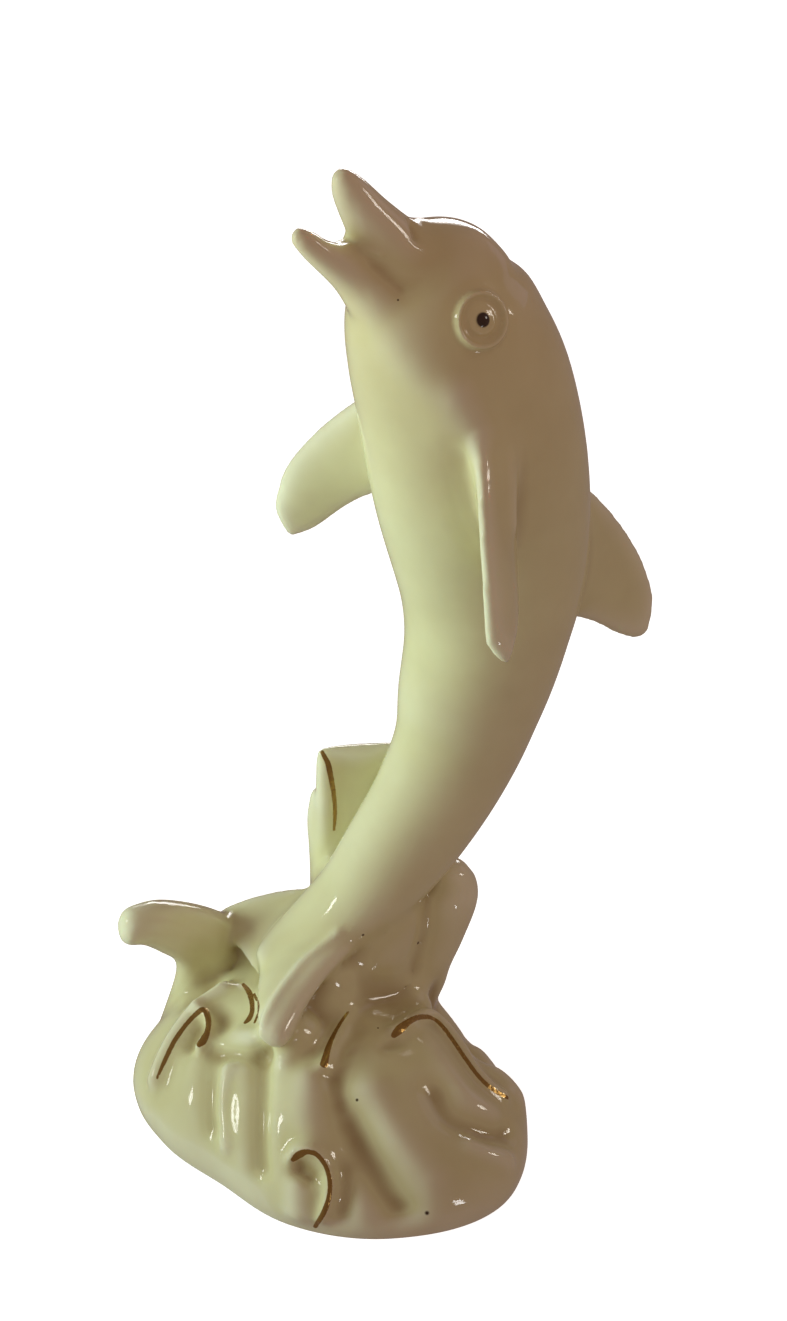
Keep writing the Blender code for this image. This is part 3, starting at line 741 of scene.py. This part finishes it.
@dataclass
class Casting:
    """The one-piece casting: forms fused, softened as slip and glaze leave them, and sculpted.

    Its inner corners are filled and its edges rounded over the lengths given.  The mesh is made
    finer within each of the eye reaches in turn, and once more within the line reach of the pupils
    and the gold.  A hollow's depth, which the glaze's pooled colour and painted shade follow, is
    measured from the skin as it lies after the hollow spreading steps, evened by the hollow
    blurring steps, and counts as full at the full hollow depth.  At each step a point goes the
    pace's share of the way to its neighbours' mean.
    """

    dolphin: Dolphin
    waves: Waves
    view: Viewpoint
    grain: float = 0.73
    filled: float = 5.5
    rounded: float = 2.0
    eye_reaches: Row = (6.3, 5.9)
    line_reach: float = 1.7
    hollow_spreading: int = 50
    hollow_blurring: int = 6
    hollow_full_depth: float = 0.6
    pace: float = 0.5
    spot: float = 0.01
    ground_off: float = 1e-4
    creases: tuple[Crease, ...] = (
        Crease("lip", ((348, 247), (357, 246), (368, 249), (380, 253)), 0.5, 0.8, True),
        Crease("near fluke ridge", ((338, 933), (322, 946), (305, 960), (291, 977), (279, 993),
                                    (270, 1008), (264, 1022), (262, 1034)), 0.7, 1.0),
        Crease("smile line", ((372, 266), (381, 274), (391, 282), (402, 290)), -0.35, 0.8, True),
        Crease("notch of the beak", ((412, 222), (415, 228), (417, 236)), -1.1, 1.0, True),
        Crease("jaw line", ((384, 318), (400, 344), (421, 371), (442, 396), (454, 418)), 1.3, 5.5),
        Crease("shoulder ramp", ((460, 394), (470, 410), (479, 428)), 1.0, 3.6),
        Crease("nape", ((478, 236), (492, 248), (503, 259)), 0.7, 3.2),
        Crease("under the tail stem", ((408, 982), (419, 993), (425, 1003)), 1.2, 3.0),
    )
    speck_places: Rows = ((363, 935, 0.35), (418, 943, 0.4), (427, 1213, 0.55), (357, 1100, 0.4),
                          (378, 1028, 0.25), (398, 300, 0.25))
    piece: bpy.types.Object | None = field(default=None, init=False)

    def fuse(self) -> None:
        """Joins the forms and remeshes them as one closed skin."""
        whole = bmesh.new()
        for form in self.dolphin.forms() + self.waves.forms():
            bmesh.ops.recalc_face_normals(form, faces=form.faces)
            part = bpy.data.meshes.new("form")
            form.to_mesh(part)
            whole.from_mesh(part)
            form.free()
            bpy.data.meshes.remove(part)
        mesh = bpy.data.meshes.new("dolphin_casting")
        whole.to_mesh(mesh)
        whole.free()
        self.piece = bpy.data.objects.new("dolphin_casting", mesh)
        bpy.context.scene.collection.objects.link(self.piece)
        remesh = self.piece.modifiers.new("Fuse", "REMESH")
        remesh.mode = "VOXEL"
        remesh.voxel_size = self.grain
        graph = bpy.context.evaluated_depsgraph_get()
        fused = bpy.data.meshes.new_from_object(self.piece.evaluated_get(graph))
        self.piece.modifiers.clear()
        self.piece.data = fused
        bpy.data.meshes.remove(mesh)

    @staticmethod
    def read(rows: bpy.types.bpy_prop_collection, name: str, width: int,
             kind: type = float) -> np.ndarray:
        """Reads a value of every point or edge.

        Args:
            rows: The mesh's points or edges.
            name: The value's name.
            width: How many numbers it has.
            kind: Type of the numbers.

        Returns:
            The numbers, one row to a point or edge.
        """
        flat = np.empty(width * len(rows), dtype=kind)
        rows.foreach_get(name, flat)
        return flat.reshape(-1, width)

    def points(self) -> np.ndarray:
        """Where the casting's points are."""
        return self.read(self.piece.data.vertices, "co", 3)

    def normals(self) -> np.ndarray:
        """Outward directions at the casting's points."""
        return self.read(self.piece.data.vertices, "normal", 3)

    def edges(self) -> np.ndarray:
        """The casting's edges as pairs of points."""
        return self.read(self.piece.data.edges, "vertices", 2, np.int64)

    @contextmanager
    def opened(self) -> Iterator[bmesh.types.BMesh]:
        """Opens the casting's mesh to be worked, and puts it back afterwards.

        Yields:
            The mesh.
        """
        mesh = bmesh.new()
        mesh.from_mesh(self.piece.data)
        yield mesh
        mesh.to_mesh(self.piece.data)
        mesh.free()

    def move(self, points: np.ndarray) -> None:
        """Puts the casting's points in new places."""
        self.piece.data.vertices.foreach_set("co", points.ravel())
        self.piece.data.update()

    @staticmethod
    def neighbours(values: np.ndarray, edges: np.ndarray) -> np.ndarray:
        """Averages the values of each point's neighbours.

        Args:
            values: A row to each point.
            edges: Pairs of points.

        Returns:
            The means, a row to each point.
        """
        ends = edges.ravel()
        far = values[edges[:, ::-1]].reshape(len(ends), -1)
        sums = np.stack([np.bincount(ends, column, len(values)) for column in far.T], axis=1)
        return sums / np.bincount(ends, minlength=len(values))[:, None]

    @staticmethod
    def outward(points: np.ndarray, faces: np.ndarray) -> np.ndarray:
        """Unit normals at the points of a mesh of four-sided faces.

        Args:
            points: Where the points are.
            faces: The four points of each face.

        Returns:
            A normal to each point.
        """
        corners = points[faces]
        across = np.cross(corners[:, 2] - corners[:, 0], corners[:, 3] - corners[:, 1])
        sums = [np.bincount(faces.ravel(), np.repeat(column, 4), len(points))
                for column in across.T]
        normals = np.stack(sums, axis=1)
        return normals / np.linalg.norm(normals, axis=1)[:, None]

    def settle(self) -> None:
        """Fills the inner corners and then rounds every edge a little, as slip and glaze do."""
        points, edges = self.points(), self.edges()
        faces = np.array([face.vertices for face in self.piece.data.polygons])
        fill_steps = round((self.filled / self.grain) ** 2)
        round_steps = round((self.rounded / self.grain) ** 2)
        for step in range(fill_steps + round_steps):
            shift = self.neighbours(points, edges) - points
            if step < fill_steps:
                normals = self.outward(points, faces)
                shift = normals * np.maximum((shift * normals).sum(axis=1), 0.0)[:, None]
            points = points + self.pace * shift
        self.move(points)

    def carve_folds(self) -> None:
        """Works the folds of the water into the mound."""
        points = self.points()
        rise = np.zeros(len(points))
        for fold in self.waves.folds:
            away = from_line(points, through(fold.line, self.waves.fold_steps))
            rise += fold.rise * np.exp(-(away / fold.reach) ** 2)
        rise *= np.clip(points[:, 2] / self.waves.folds_start, 0.0, 1.0)
        self.move(points + self.normals() * rise[:, None])

    def skin(self) -> BVHTree:
        """The casting's surface, for finding where a line of sight meets it."""
        faces = [tuple(face.vertices) for face in self.piece.data.polygons]
        return BVHTree.FromPolygons([tuple(point) for point in self.points()], faces)

    def seen(self, pixels: Rows, skin: BVHTree, steps: int = 5) -> np.ndarray:
        """Where a line in the photograph lies on the casting.

        Args:
            pixels: The line's points, each across and down and any further values.
            skin: The casting's surface.
            steps: Even steps between two points.

        Returns:
            Rows of x, y, z and the further values.
        """
        camera = self.view.position()
        rows = []
        for row in through(pixels, steps):
            place = skin.ray_cast(camera, self.view.ray(row[0], row[1]))[0]
            if place is not None:
                rows.append([*place, *row[2:]])
        return np.array(rows)

    def eye_places(self, skin: BVHTree) -> list[np.ndarray]:
        """The eyes' centres on the casting's surface."""
        return [np.array(skin.find_nearest(centre)[0]) for centre in self.dolphin.eye_centres()]

    def sculpt(self) -> None:
        """Adds the eyes and the fine creases."""
        skin = self.skin()
        points = self.points()
        rise = np.zeros(len(points))
        for crease in self.creases:
            line = self.seen(crease.line, skin)
            lines = [line]
            if crease.both_sides:
                lines.append(np.array([self.dolphin.across(Vector(place)) for place in line]))
            for each in lines:
                rise += crease.rise * np.exp(-(from_line(points, each) / crease.reach) ** 2)
        for place in self.eye_places(skin):
            rise += self.dolphin.eye.relief(points, place)
        self.move(points + self.normals() * rise[:, None])

    def refine(self, lines: list[np.ndarray], reach: float) -> None:
        """Makes the mesh finer beside lines.

        Args:
            lines: Rows of points that start with x, y and z.
            reach: How far from them the mesh is made finer.
        """
        near = np.min([from_line(self.points(), line) for line in lines], axis=0) < reach
        with self.opened() as mesh:
            chosen = [edge for edge in mesh.edges
                      if all(near[vertex.index] for vertex in edge.verts)]
            bmesh.ops.subdivide_edges(mesh, edges=chosen, cuts=1, use_grid_fill=True)

    def sharpen(self, strokes: list[np.ndarray], skin: BVHTree) -> None:
        """Makes the mesh fine enough for the eyes and the gold.

        Args:
            strokes: The strokes of gold on the casting.
            skin: The casting's surface.
        """
        # An eye is a line that all but ends where it starts
        spots = [np.stack([eye, eye + self.spot]) for eye in self.eye_places(skin)]
        for reach in self.eye_reaches:
            self.refine(spots, reach)
        self.refine(strokes + spots, self.line_reach)

    def flat_foot(self) -> None:
        """Grinds the underside flat."""
        with self.opened() as mesh:
            everything = mesh.verts[:] + mesh.edges[:] + mesh.faces[:]
            cut = bmesh.ops.bisect_plane(mesh, geom=everything, dist=self.ground_off,
                                         plane_co=(0, 0, 0), plane_no=(0, 0, -1), clear_outer=True)
            rim = [piece for piece in cut["geom_cut"] if isinstance(piece, bmesh.types.BMEdge)]
            for vertex in {vertex for edge in rim for vertex in edge.verts}:
                vertex.co.z = 0.0
            bmesh.ops.contextual_create(mesh, geom=rim)
            bmesh.ops.triangulate(mesh, faces=[face for face in mesh.faces if len(face.verts) > 4])
            bmesh.ops.recalc_face_normals(mesh, faces=mesh.faces)

    def note(self, name: str, values: np.ndarray) -> None:
        """Keeps a value at each point for the finish to read."""
        layer = self.piece.data.attributes.new(name, "FLOAT", "POINT")
        layer.data.foreach_set("value", values.astype(np.float32))

    def evened(self, values: np.ndarray, edges: np.ndarray, steps: int) -> np.ndarray:
        """Draws each point's values towards its neighbours' mean.

        Args:
            values: A row to each point.
            edges: Pairs of points.
            steps: How many times this is done.

        Returns:
            The evened values.
        """
        for _ in range(steps):
            values = (1 - self.pace) * values + self.pace * self.neighbours(values, edges)
        return values

    def hollow_depth(self) -> np.ndarray:
        """Measures how deep each point lies in a hollow; the glaze's pooled colour and its painted
        shade follow this.

        Returns:
            From -1 on a ridge to 1 in a hollow.
        """
        points, edges = self.points(), self.edges()
        spread = self.evened(points, edges, self.hollow_spreading)
        depth = ((spread - points) * self.normals()).sum(axis=1, keepdims=True)
        depth = self.evened(depth, edges, self.hollow_blurring).ravel()
        return np.clip(depth / self.hollow_full_depth, -1.0, 1.0)

    def finish(self) -> None:
        """Scales the casting to metres and gives it smooth shading."""
        with self.opened() as mesh:
            bmesh.ops.scale(mesh, verts=mesh.verts, vec=(MM, MM, MM))
        self.piece.data.shade_smooth()


# Gold


@dataclass(frozen=True)
class Stroke:
    """A brush stroke of gold: across and down in the photograph, and its width in millimetres."""

    name: str
    places: Rows


@dataclass(frozen=True)
class Gilding:
    """The gold painted on the crests.  Points farther off it than the farthest count as there."""

    farthest: float = 4.0
    strokes: tuple[Stroke, ...] = (
        Stroke("left crest", ((157, 1078, 0.5), (165, 1060, 0.9), (175, 1040, 1.0),
                              (185, 1026, 0.9), (195, 1015, 1.0), (204, 1009, 1.2),
                              (208, 1018, 1.3), (207, 1030, 1.4), (203, 1040, 1.7),
                              (199, 1044, 1.3))),
        Stroke("inner left crest", ((243, 984, 0.7), (249, 992, 1.1), (252, 1002, 1.2),
                                    (252, 1012, 1.3), (249, 1019, 1.5), (246, 1022, 1.1))),
        Stroke("inner left twin", ((254, 994, 0.6), (258, 1003, 0.8), (258, 1013, 0.9),
                                   (255, 1022, 0.7))),
        Stroke("middle rib", ((348, 1012, 0.5), (341, 1022, 0.7), (334, 1034, 0.9),
                              (328, 1048, 1.2), (324, 1064, 1.6))),
        Stroke("right crest", ((394, 1035, 1.2), (400, 1029, 1.8), (408, 1022, 1.4),
                               (419, 1017, 1.2), (432, 1018, 0.9), (443, 1027, 0.9),
                               (454, 1042, 0.9), (465, 1058, 0.9), (480, 1078, 0.9),
                               (494, 1090, 0.9), (508, 1098, 0.7))),
        Stroke("swirl", ((293, 1160, 1.0), (299, 1155, 1.6), (307, 1152, 1.1), (317, 1155, 0.9),
                         (326, 1167, 0.9), (330, 1183, 0.9), (329, 1198, 1.0), (324, 1212, 1.1),
                         (315, 1227, 0.8))),
        Stroke("tall crest", ((322, 752, 0.8), (328, 764, 1.1), (331, 778, 1.1), (334, 796, 0.9),
                              (335, 814, 0.8), (334, 830, 0.5))),
    )

    def lines(self, casting: Casting, skin: BVHTree) -> list[np.ndarray]:
        """Every stroke laid on the casting, as rows of x, y, z and width."""
        return [casting.seen(stroke.places, skin) for stroke in self.strokes]

    def cover(self, points: np.ndarray, lines: list[np.ndarray]) -> np.ndarray:
        """How far each point lies inside the gold, in millimetres.

        Args:
            points: Points of the casting.
            lines: The strokes on it.

        Returns:
            Positive inside the gold, negative outside it.
        """
        inside = np.full(len(points), -self.farthest)
        for line in lines:
            for away, nearest in stretches(points, line):
                inside = np.maximum(inside, nearest[:, 3] / 2 - away)
        return inside


# Finishes


def linear(hex_colour: str) -> tuple[float, float, float, float]:
    """Turns a colour into the numbers that Blender reckons with.

    Args:
        hex_colour: An sRGB hex colour.

    Returns:
        Linear red, green, blue and full alpha.
    """
    parts = [int(hex_colour.lstrip("#")[start:start + 2], 16) / 255 for start in (0, 2, 4)]
    red, green, blue = (part / 12.92 if part <= 0.04045 else ((part + 0.055) / 1.055) ** 2.4
                        for part in parts)
    return red, green, blue, 1.0


def add(tree: bpy.types.NodeTree, kind: str, settings: dict | None = None,
        links: dict | None = None) -> bpy.types.Node:
    """Adds a node.

    Args:
        tree: The node tree.
        kind: The node's type.
        settings: Values of its properties, or of its input sockets by name or number.
        links: Output sockets that feed its inputs.

    Returns:
        The node.
    """
    node = tree.nodes.new(kind)
    for name, value in (settings or {}).items():
        if isinstance(name, str) and hasattr(node, name):
            setattr(node, name, value)
        else:
            node.inputs[name].default_value = value
    for name, socket in (links or {}).items():
        tree.links.new(socket, node.inputs[name])
    return node


@dataclass(frozen=True)
class Tint:
    """A colour laid over the glaze, from the value where it starts to the one where it is full."""

    colour: str
    start: float
    full: float
    strength: float = 1.0

    def over(self, tree: bpy.types.NodeTree, colour: Socket,
             value: Socket) -> tuple[Socket, Socket]:
        """Lays the tint over a colour.

        Args:
            tree: The material's nodes.
            colour: The colour beneath.
            value: What the tint follows.

        Returns:
            The colour that comes of it, and the tint's share.
        """
        share = add(tree, "ShaderNodeMapRange",
                    {"From Min": self.start, "From Max": self.full, "To Max": self.strength},
                    {"Value": value}).outputs["Result"]
        mix = add(tree, "ShaderNodeMix", {"data_type": "RGBA", 7: linear(self.colour)},
                  {0: share, 6: colour})
        return mix.outputs[2], share


@dataclass(frozen=True)
class Pattern:
    """An uneven pattern in the surface: the size of its patches in millimetres, and its detail."""

    size: float
    detail: float


@dataclass(frozen=True)
class IvoryGlaze:
    """Clear ivory glaze over white porcelain, dipped and fired, with overglaze gold brushed on.

    The glaze is glassy and thickest in each hollow, where it goes olive brown; that olive brown is
    partly the pooled glaze and partly painted shade.  It thins to cream on the ridges.  Painted
    shade darkens it towards the foot and makes it warmer and browner over the head.
    Iron burns through it as dark specks, and iron brown paints the pupils.  The fired gold is a
    thin bright metal whose strokes have soft, ragged edges and an uneven skin.  The foot is ground
    bare and matt.  Tints follow each hollow's depth, the mottle, the height in metres, or the
    gold's cover.
    """

    cream: str = "#DDD9AC"
    # Olive brown in each hollow: partly the pooled glaze, partly painted shade.
    pooled_glaze_and_shade: Tint = Tint("#9A8050", 0.12, 1.5)
    ridges: Tint = Tint("#E9E6C8", -0.15, -0.9)
    mottling: Tint = Tint("#9A8050", 0.3, 0.7, 0.14)
    # Painted shade: the colour gets darker towards the foot.
    foot_shade: Tint = Tint("#9A8050", 32 * MM, 12 * MM, 0.17)
    # Painted shade: the colour is warmer and browner over the head, where its top lies in warm
    # shade.
    head_shade: Tint = Tint("#C68F52", 125 * MM, 170 * MM, 0.22)
    gold: Tint = Tint("#9C7A40", -0.07, 0.07)
    biscuit: Tint = Tint("#D9D4C4", 0.0, 1.0)
    iron: str = "#3B2412"
    glaze_roughness: float = 0.07
    gold_roughness: float = 0.22
    biscuit_roughness: float = 0.8
    gold_metal: float = 0.72
    gold_ragged: float = 0.16
    gold_grain: float = 1.5
    gold_bump: float = 0.6
    bare_mm: float = 0.25
    speck_core: float = 0.4
    pupil_core: float = 0.8
    mottle: Pattern = Pattern(14.0, 3.0)
    brush: Pattern = Pattern(0.8, 2.0)
    ripple: Pattern = Pattern(7.0, 1.0)
    ripple_height: float = 0.12
    ripple_bump: float = 0.35
    glass_ior: float = 1.5
    glow: float = 0.12
    glow_reach: Row = (1.0, 0.7, 0.4)
    glow_mm: float = 2.5
    specks: Rows = ()
    pupils: Rows = ()

    def material(self) -> bpy.types.Material:
        """Builds the material.

        Returns:
            The material.
        """
        material = bpy.data.materials.new("ivory_glazed_porcelain")
        material.use_nodes = True
        tree = material.node_tree
        shader = tree.nodes["Principled BSDF"]
        place = add(tree, "ShaderNodeTexCoord").outputs["Object"]
        height = add(tree, "ShaderNodeSeparateXYZ", links={0: place}).outputs["Z"]
        hollow_depth, gilding = (
            add(tree, "ShaderNodeAttribute", {"attribute_name": name}).outputs["Fac"]
            for name in ("hollow_depth", "gilding"))
        mottle, brushed, ripple = (
            add(tree, "ShaderNodeTexNoise",
                {"Scale": 1 / (pattern.size * MM), "Detail": pattern.detail},
                {"Vector": place}).outputs["Fac"]
            for pattern in (self.mottle, self.brush, self.ripple))

        colour = add(tree, "ShaderNodeRGB").outputs["Color"]
        colour.default_value = linear(self.cream)
        # These tints lay painted shade: olive brown in each hollow (partly real pooled glaze),
        # darker towards the foot, warmer and browner over the head.
        for tint, value in ((self.pooled_glaze_and_shade, hollow_depth), (self.ridges, hollow_depth),
                            (self.mottling, mottle), (self.foot_shade, height),
                            (self.head_shade, height)):
            colour, _ = tint.over(tree, colour, value)
        for spots, core in ((self.specks, self.speck_core), (self.pupils, self.pupil_core)):
            for x, y, z, radius in spots:
                away = add(tree, "ShaderNodeVectorMath",
                           {"operation": "DISTANCE", 1: (x * MM, y * MM, z * MM)},
                           {0: place}).outputs["Value"]
                spot = Tint(self.iron, radius * MM, radius * core * MM)
                colour, _ = spot.over(tree, colour, away)
        ragged = add(tree, "ShaderNodeMath",
                     {"operation": "MULTIPLY_ADD", 1: self.gold_ragged, 2: -self.gold_ragged / 2},
                     {0: brushed}).outputs["Value"]
        cover = add(tree, "ShaderNodeMath", {"operation": "ADD"},
                    {0: gilding, 1: ragged}).outputs["Value"]
        colour, golden = self.gold.over(tree, colour, cover)
        bare = add(tree, "ShaderNodeMath", {"operation": "LESS_THAN", 1: self.bare_mm * MM},
                   {0: height}).outputs["Value"]
        colour, _ = self.biscuit.over(tree, colour, bare)

        metal = add(tree, "ShaderNodeMath", {"operation": "MULTIPLY", 1: self.gold_metal},
                    {0: golden})
        polish = add(tree, "ShaderNodeMapRange",
                     {"To Min": self.glaze_roughness, "To Max": self.gold_roughness},
                     {"Value": golden}).outputs["Result"]
        ground = add(tree, "ShaderNodeMath", {"operation": "MULTIPLY", 1: self.biscuit_roughness},
                     {0: bare}).outputs["Value"]
        rough = add(tree, "ShaderNodeMath", {"operation": "MAXIMUM"}, {0: polish, 1: ground})
        uneven = add(tree, "ShaderNodeMath", {"operation": "MULTIPLY"},
                     {0: ragged, 1: golden}).outputs["Value"]
        rippled = add(tree, "ShaderNodeBump",
                      {"Strength": self.ripple_bump, "Distance": self.ripple_height * MM},
                      {"Height": ripple}).outputs["Normal"]
        skin = add(tree, "ShaderNodeBump",
                   {"Strength": self.gold_bump, "Distance": self.gold_grain * MM},
                   {"Height": uneven, "Normal": rippled})
        for socket, name in ((colour, "Base Color"), (metal.outputs["Value"], "Metallic"),
                             (rough.outputs["Value"], "Roughness"),
                             (skin.outputs["Normal"], "Normal")):
            tree.links.new(socket, shader.inputs[name])
        for name, value in (("IOR", self.glass_ior), ("Subsurface Weight", self.glow),
                            ("Subsurface Radius", self.glow_reach),
                            ("Subsurface Scale", self.glow_mm * MM)):
            shader.inputs[name].default_value = value
        return material


# The studio


class Role(Enum):
    """What a lamp does: whether it lights the figure, and whether the glaze mirrors it."""

    LIT_AND_MIRRORED = (True, True)
    LIT = (True, False)
    MIRRORED = (False, True)


@dataclass(frozen=True)
class Lamp:
    """A soft light: its place from the target along the camera's right, up and back, in metres.

    It faces the figure, or straight up where it is level, as light thrown back by a table is.
    """

    name: str
    place: tuple[float, float, float]
    size: tuple[float, float]
    radiance: float
    colour: str
    role: Role
    level: bool = False

    def power(self) -> float:
        """Power in watts that gives the lamp its radiance."""
        return self.radiance * math.pi * self.size[0] * self.size[1]


@dataclass(frozen=True)
class Studio:
    """A plain pale floor under plain soft light.

    Daylight from the left lights the cream side, and the room's dim warm light fills the other.
    A lamp that is only mirrored lights nothing, and shows in the glaze as a window or wall does.
    """

    view: Viewpoint
    floor_size: float = 12.0
    floor_colour: str = "#F4F4F2"
    floor_roughness: float = 0.9
    floor_light: str = "#FFFFFF"
    floor_glow: float = 0.9
    world: str = "#FFE0D4"
    world_strength: float = 0.265
    lamps: tuple[Lamp, ...] = (
        Lamp("daylight", (-0.96, 0.07, 0.12), (0.60, 0.38), 10.8, "#E2FFF4", Role.LIT),
        Lamp("table_bounce", (-0.27, -0.09, 0.0), (0.30, 0.40), 1.8, "#E7FFF7", Role.LIT,
             level=True),
        Lamp("warm_fill", (0.70, 0.14, 0.85), (0.9, 0.9), 0.55, "#FFDACA", Role.LIT),
        Lamp("window", (-0.92, 0.22, 0.22), (0.09, 0.16), 11.0, "#FFFFFF", Role.LIT_AND_MIRRORED),
        Lamp("side_window_near_pane", (0.87, 0.31, 0.28), (0.08, 0.20), 12.5, "#FFF8EC",
             Role.MIRRORED),
        Lamp("side_window_far_pane", (0.91, 0.33, 0.17), (0.07, 0.19), 12.0, "#FFF8EC",
             Role.MIRRORED),
        Lamp("low_window", (0.168, -0.172, 0.14), (0.025, 0.04), 11.0, "#FFFFFF", Role.MIRRORED),
        Lamp("upper_window", (0.12, 0.72, -0.69), (0.60, 0.25), 6.0, "#FFFFFF", Role.MIRRORED),
        Lamp("back_card", (0.05, 0.85, -0.75), (0.9, 0.4), 1.6, "#FFFFFF", Role.MIRRORED),
        Lamp("lilac_card", (0.80, 0.60, -0.25), (0.40, 0.40), 0.30, "#D8CCFF", Role.MIRRORED),
    )

    def light(self, lamp: Lamp) -> bpy.types.Object:
        """Adds a lamp.

        Args:
            lamp: Its place, size and light.

        Returns:
            The lamp.
        """
        data = bpy.data.lights.new(lamp.name, "AREA")
        data.shape = "RECTANGLE"
        data.size, data.size_y = lamp.size
        data.energy = lamp.power()
        data.color = linear(lamp.colour)[:3]
        lamp_object = bpy.data.objects.new(lamp.name, data)
        lamp_object.location = self.view.placed(*lamp.place)
        away = lamp_object.location - Vector(self.view.target) * MM
        if lamp.level:
            lamp_object.rotation_euler = (math.pi, 0.0, math.radians(self.view.azimuth))
        else:
            lamp_object.rotation_euler = away.to_track_quat("Z", "Y").to_euler()
        lamp_object.visible_camera = False
        lamp_object.visible_diffuse, lamp_object.visible_glossy = lamp.role.value
        bpy.context.scene.collection.objects.link(lamp_object)
        return lamp_object

    def floor(self) -> bpy.types.Object:
        """Adds the floor, a sheet of matt white paint, which looks soft and even.

        Returns:
            The floor.
        """
        mesh = bmesh.new()
        bmesh.ops.create_grid(mesh, x_segments=1, y_segments=1, size=self.floor_size / 2)
        data = bpy.data.meshes.new("studio_floor")
        mesh.to_mesh(data)
        mesh.free()
        floor = bpy.data.objects.new("studio_floor", data)
        material = bpy.data.materials.new("matt_white_paint")
        material.use_nodes = True
        shader = material.node_tree.nodes["Principled BSDF"]
        for name, value in (("Base Color", linear(self.floor_colour)),
                            ("Roughness", self.floor_roughness),
                            ("Emission Color", linear(self.floor_light)),
                            ("Emission Strength", self.floor_glow)):
            shader.inputs[name].default_value = value
        data.materials.append(material)
        floor.visible_diffuse = False
        floor.visible_glossy = False
        bpy.context.scene.collection.objects.link(floor)
        return floor

    def build(self) -> None:
        """Adds the floor, the lamps and the dim surroundings."""
        self.floor()
        for lamp in self.lamps:
            self.light(lamp)
        world = bpy.data.worlds.new("studio")
        world.use_nodes = True
        background = world.node_tree.nodes["Background"]
        background.inputs["Color"].default_value = linear(self.world)
        background.inputs["Strength"].default_value = self.world_strength
        bpy.context.scene.world = world
        bpy.context.scene.view_settings.view_transform = "Standard"


# Putting it together


def main() -> None:
    """Builds the casting, paints it, and sets the studio round it."""
    logging.basicConfig(level=logging.INFO, format="%(message)s")
    view = Viewpoint()
    dolphin = Dolphin()
    casting = Casting(dolphin, Waves(), view)
    gilding = Gilding()
    casting.fuse()
    casting.settle()
    casting.carve_folds()
    skin = casting.skin()
    casting.sharpen(gilding.lines(casting, skin), skin)
    casting.sculpt()
    casting.flat_foot()
    casting.note("hollow_depth", casting.hollow_depth())
    skin = casting.skin()
    casting.note("gilding", gilding.cover(casting.points(), gilding.lines(casting, skin)))
    pupils = tuple((*eye, dolphin.eye.pupil_radius) for eye in casting.eye_places(skin))
    specks = tuple(map(tuple, casting.seen(casting.speck_places, skin, steps=1)))
    casting.finish()
    piece = casting.piece
    piece.data.materials.clear()
    piece.data.materials.append(IvoryGlaze(specks=specks, pupils=pupils).material())
    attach(piece, "root")
    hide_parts(NODE)
    log.info("dolphin_casting: %d faces", len(piece.data.polygons))
    Studio(view).build()
    view.camera()
    log.info("studio: floor and lamps")


if __name__ == "__main__":
    main()
